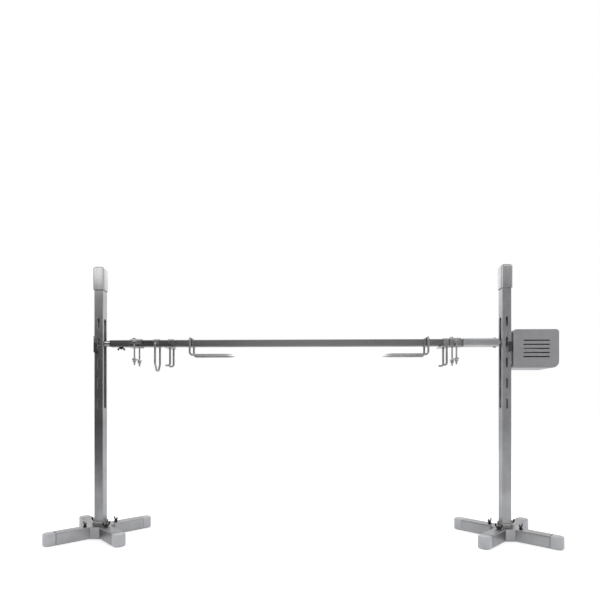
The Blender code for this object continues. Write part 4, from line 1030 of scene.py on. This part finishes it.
class ROASTER_OT_louvre_lips(bpy.types.Operator):
    """Makes the lips pressed round the louvres of the motor housing"""

    bl_idname = "roaster.louvre_lips"
    bl_label = "Louvre lips"

    def execute(self, context):
        s = sizes()
        low, high = corners_of("motor_housing")
        louvres, end = 5, s.louvre_height / 2
        left = low[0] + s.louvre_start
        t = np.linspace(0, np.pi, 9)
        radius = end + s.louvre_lip * 0.35
        xs = np.concatenate([left + s.louvre - end + radius * np.sin(t), left + end - radius * np.sin(t)])
        lips = []
        for row in range(louvres):
            z = (low[2] + high[2]) / 2 + s.louvre_pitch * (row - louvres // 2)
            zs = z + radius * np.concatenate([-np.cos(t), np.cos(t)])
            path = np.stack([xs, np.full(xs.size, low[1] + 0.0002), zs], -1)
            path = np.concatenate([path[-1:], path, path[:1]])
            lips.append(looped(swept(path, s.louvre_lip, 8)[1:-1]))
        add_piece("louvre_lips", lips, "housing paint", "motor_carriage", angle=60)
        return {"FINISHED"}


class ROASTER_OT_foot_welds(bpy.types.Operator):
    """Makes the weld beads where the post's socket stands on the hub"""

    bl_idname = "roaster.foot_welds"
    bl_label = "Foot welds"

    def execute(self, context):
        s = sizes()
        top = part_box("left_front_left_arm")[1][2]
        socket_half, socket_corner = 0.0256, 0.0077
        ring = rounded_square(socket_half, socket_corner, 8)
        path = np.stack([*ring.T, np.full(len(ring), top + 0.0003)], -1)
        path = np.concatenate([path, path[:1]])
        for side in ("left", "right"):
            around = path + (*middle(f"{side}_hub")[:2], 0)
            add_piece(f"{side}_hub_weld", [closed(bead(around, s.bead * 1.3, 0.003))], "weld metal", "stands")
        return {"FINISHED"}


# ---------------------------------------------------------------- stage

# The camera as it was fitted to the photograph, in pixels of its frame: the frame's width, the focal length,
# and how far the horizon lies under the frame's middle.
FRAME_PIXELS, FOCAL_PIXELS, HORIZON_PIXELS = 600, 436.5, 110
FLOOR_HALF = 30.0
FLOOR_GLOW = 0.45


class ROASTER_OT_stage(bpy.types.Operator):
    """Makes the floor, the white surroundings, the lamps, two cards that paint darker reflections on the
    metal, and the camera
    """

    bl_idname = "roaster.stage"
    bl_label = "Stage"

    def execute(self, context):
        scene = context.scene
        ground = CAD_BOX[0][2] - 0.0005
        corners = [(-FLOOR_HALF, -FLOOR_HALF), (FLOOR_HALF, -FLOOR_HALF), (FLOOR_HALF, FLOOR_HALF),
                   (-FLOOR_HALF, FLOOR_HALF)]
        stage_sheet("floor", [(x, y, ground) for x, y in corners], floor_material(tuple(colours().backdrop)))
        surroundings(scene)
        lamp("key_light", (-2.6, -3.6, 4.0), (0, 0, 0.6), 5.0, 85)
        lamp("fill_light", (3.4, -3.2, 2.8), (0.2, 0, 0.6), 4.5, 50)
        lamp("back_light", (0.0, 3.8, 3.6), (0, 0, 0.7), 4.5, 60)
        # Painted reflections: these two cards are seen only in reflections, dark on the left and grey on the
        # right, and darken the metal that faces them, most of all the posts' fronts.
        painted_reflection_card("left_dark_card", (-1.55, -1.25, 0.76), (2.1, 1.50), math.radians(-25), 0.02)
        painted_reflection_card("right_grey_card", (2.0, -2.3, 1.22), (2.2, 2.4), math.radians(25), 0.55)
        post_middle = (middle("left_post")[0] + middle("right_post")[0]) / 2
        camera = linked("camera", bpy.data.cameras.new("camera"))
        camera.location = (post_middle + 0.036, -1.949, 0.566)
        camera.rotation_euler = (math.pi / 2, 0, 0.0205)
        camera.data.sensor_width = 36
        camera.data.lens = camera.data.sensor_width * FOCAL_PIXELS / FRAME_PIXELS
        camera.data.shift_y = HORIZON_PIXELS / FRAME_PIXELS
        camera.data.clip_start = 0.05
        camera.data.clip_end = 100
        scene.camera = camera
        scene.view_settings.view_transform = "Standard"
        return {"FINISHED"}


def stage_sheet(name, corners, material):
    """A flat sheet of the stage between four corners."""
    mesh = bpy.data.meshes.new(name)
    mesh.from_pydata(corners, [], [(0, 1, 2, 3)])
    mesh.materials.append(material)
    sheet = linked(name, mesh)
    return sheet


def lamp(name, at, target, size, power):
    """A round soft lamp whose -Z axis points from its place to its target."""
    light = bpy.data.lights.new(name, "AREA")
    light.shape = "DISK"
    light.size = size
    light.energy = power
    obj = linked(name, light)
    obj.location = at
    away = np.asarray(at, float) - np.asarray(target, float)
    flat = math.hypot(away[0], away[1])
    obj.rotation_euler = (math.atan2(flat, away[2]), 0, math.atan2(away[1], away[0]) + math.pi / 2)


def painted_reflection_card(name, at, size, turn, tone):
    """A dark or grey upright card that only reflections see: it paints a darker reflection on the metal that
    faces it, as a photographer's flag would, and is hidden from the camera, diffuse light and shadows.
    """
    half, tall = size[0] / 2, size[1] / 2
    corners = [(at[0] + x * math.cos(turn), at[1] + x * math.sin(turn), at[2] + z)
               for x, z in ((-half, -tall), (half, -tall), (half, tall), (-half, tall))]
    card = stage_sheet(name, corners, Finish(name).give({"Base Color": (tone, tone, tone), "Roughness": 1.0}))
    # Seen by no camera, diffuse or shadow ray: the card only paints a darker reflection.
    card.visible_camera = card.visible_diffuse = card.visible_transmission = card.visible_shadow = False


def floor_material(base):
    """A pale floor that the camera and reflections see as white, and that still shows shadow."""
    nodes = Finish("pale floor")
    nodes.give({"Base Color": base, "Roughness": 0.9})
    seen = nodes.seen_by("Is Camera Ray", "Is Glossy Ray")
    share = nodes.add("Math", {0: seen, 1: FLOOR_GLOW}, operation="MULTIPLY").outputs[0]
    glow = nodes.add("Emission", {"Color": (1, 1, 1), "Strength": share}).outputs[0]
    both = nodes.add("AddShader", {0: nodes.shader.outputs[0], 1: glow}).outputs[0]
    nodes.put(both, nodes.tree.nodes["Material Output"].inputs["Surface"])
    return nodes.material


def surroundings(scene):
    """A plain grey sky for light, white where the camera, reflections or glass look at it."""
    scene.world = bpy.data.worlds.new("surroundings")
    scene.world.use_nodes = True
    nodes = Nodes(scene.world.node_tree)
    nodes.tree.nodes.clear()
    seen = nodes.seen_by("Is Camera Ray", "Is Glossy Ray", "Is Transmission Ray")
    light = nodes.add("Background", {"Color": (0.92, 0.94, 1.0), "Strength": 0.72}).outputs[0]
    white = nodes.add("Background", {"Color": (1, 1, 1), "Strength": 1.0}).outputs[0]
    mix = nodes.add("MixShader", {0: seen, 1: light, 2: white}).outputs[0]
    nodes.add("OutputWorld", {"Surface": mix})


# ---------------------------------------------------------------- panel and registration


STEPS = (
    ROASTER_OT_frame_finishes,
    ROASTER_OT_post_caps,
    ROASTER_OT_arm_end_caps,
    ROASTER_OT_wing_screws,
    ROASTER_OT_forks,
    ROASTER_OT_leg_hooks,
    ROASTER_OT_leg_loop,
    ROASTER_OT_leg_clamps,
    ROASTER_OT_clamp_bars,
    ROASTER_OT_turned_parts,
    ROASTER_OT_small_screws,
    ROASTER_OT_louvre_lips,
    ROASTER_OT_foot_welds,
    ROASTER_OT_stage,
)


class ROASTER_PT_panel(bpy.types.Panel):
    """Lists the roaster's operators, sizes and colours"""

    bl_idname = "ROASTER_PT_panel"
    bl_label = "Spit Roaster"
    bl_space_type = "VIEW_3D"
    bl_region_type = "UI"
    bl_category = "Roaster"

    def draw(self, context):
        for step in STEPS:
            self.layout.operator(step.bl_idname)
        for group in (context.scene.roaster_sizes, context.scene.roaster_colours):
            box = self.layout.box()
            for name in type(group).__annotations__:
                box.prop(group, name)


CLASSES = (RoasterSizes, RoasterColours, *STEPS, ROASTER_PT_panel)


def register():
    for cls in CLASSES:
        bpy.utils.register_class(cls)
    bpy.types.Scene.roaster_sizes = bpy.props.PointerProperty(type=RoasterSizes)
    bpy.types.Scene.roaster_colours = bpy.props.PointerProperty(type=RoasterColours)


def unregister():
    del bpy.types.Scene.roaster_colours
    del bpy.types.Scene.roaster_sizes
    for cls in reversed(CLASSES):
        bpy.utils.unregister_class(cls)


def main():
    register()
    for step in STEPS:
        group, name = step.bl_idname.split(".")
        getattr(getattr(bpy.ops, group), name)()


if __name__ == "__main__":
    main()
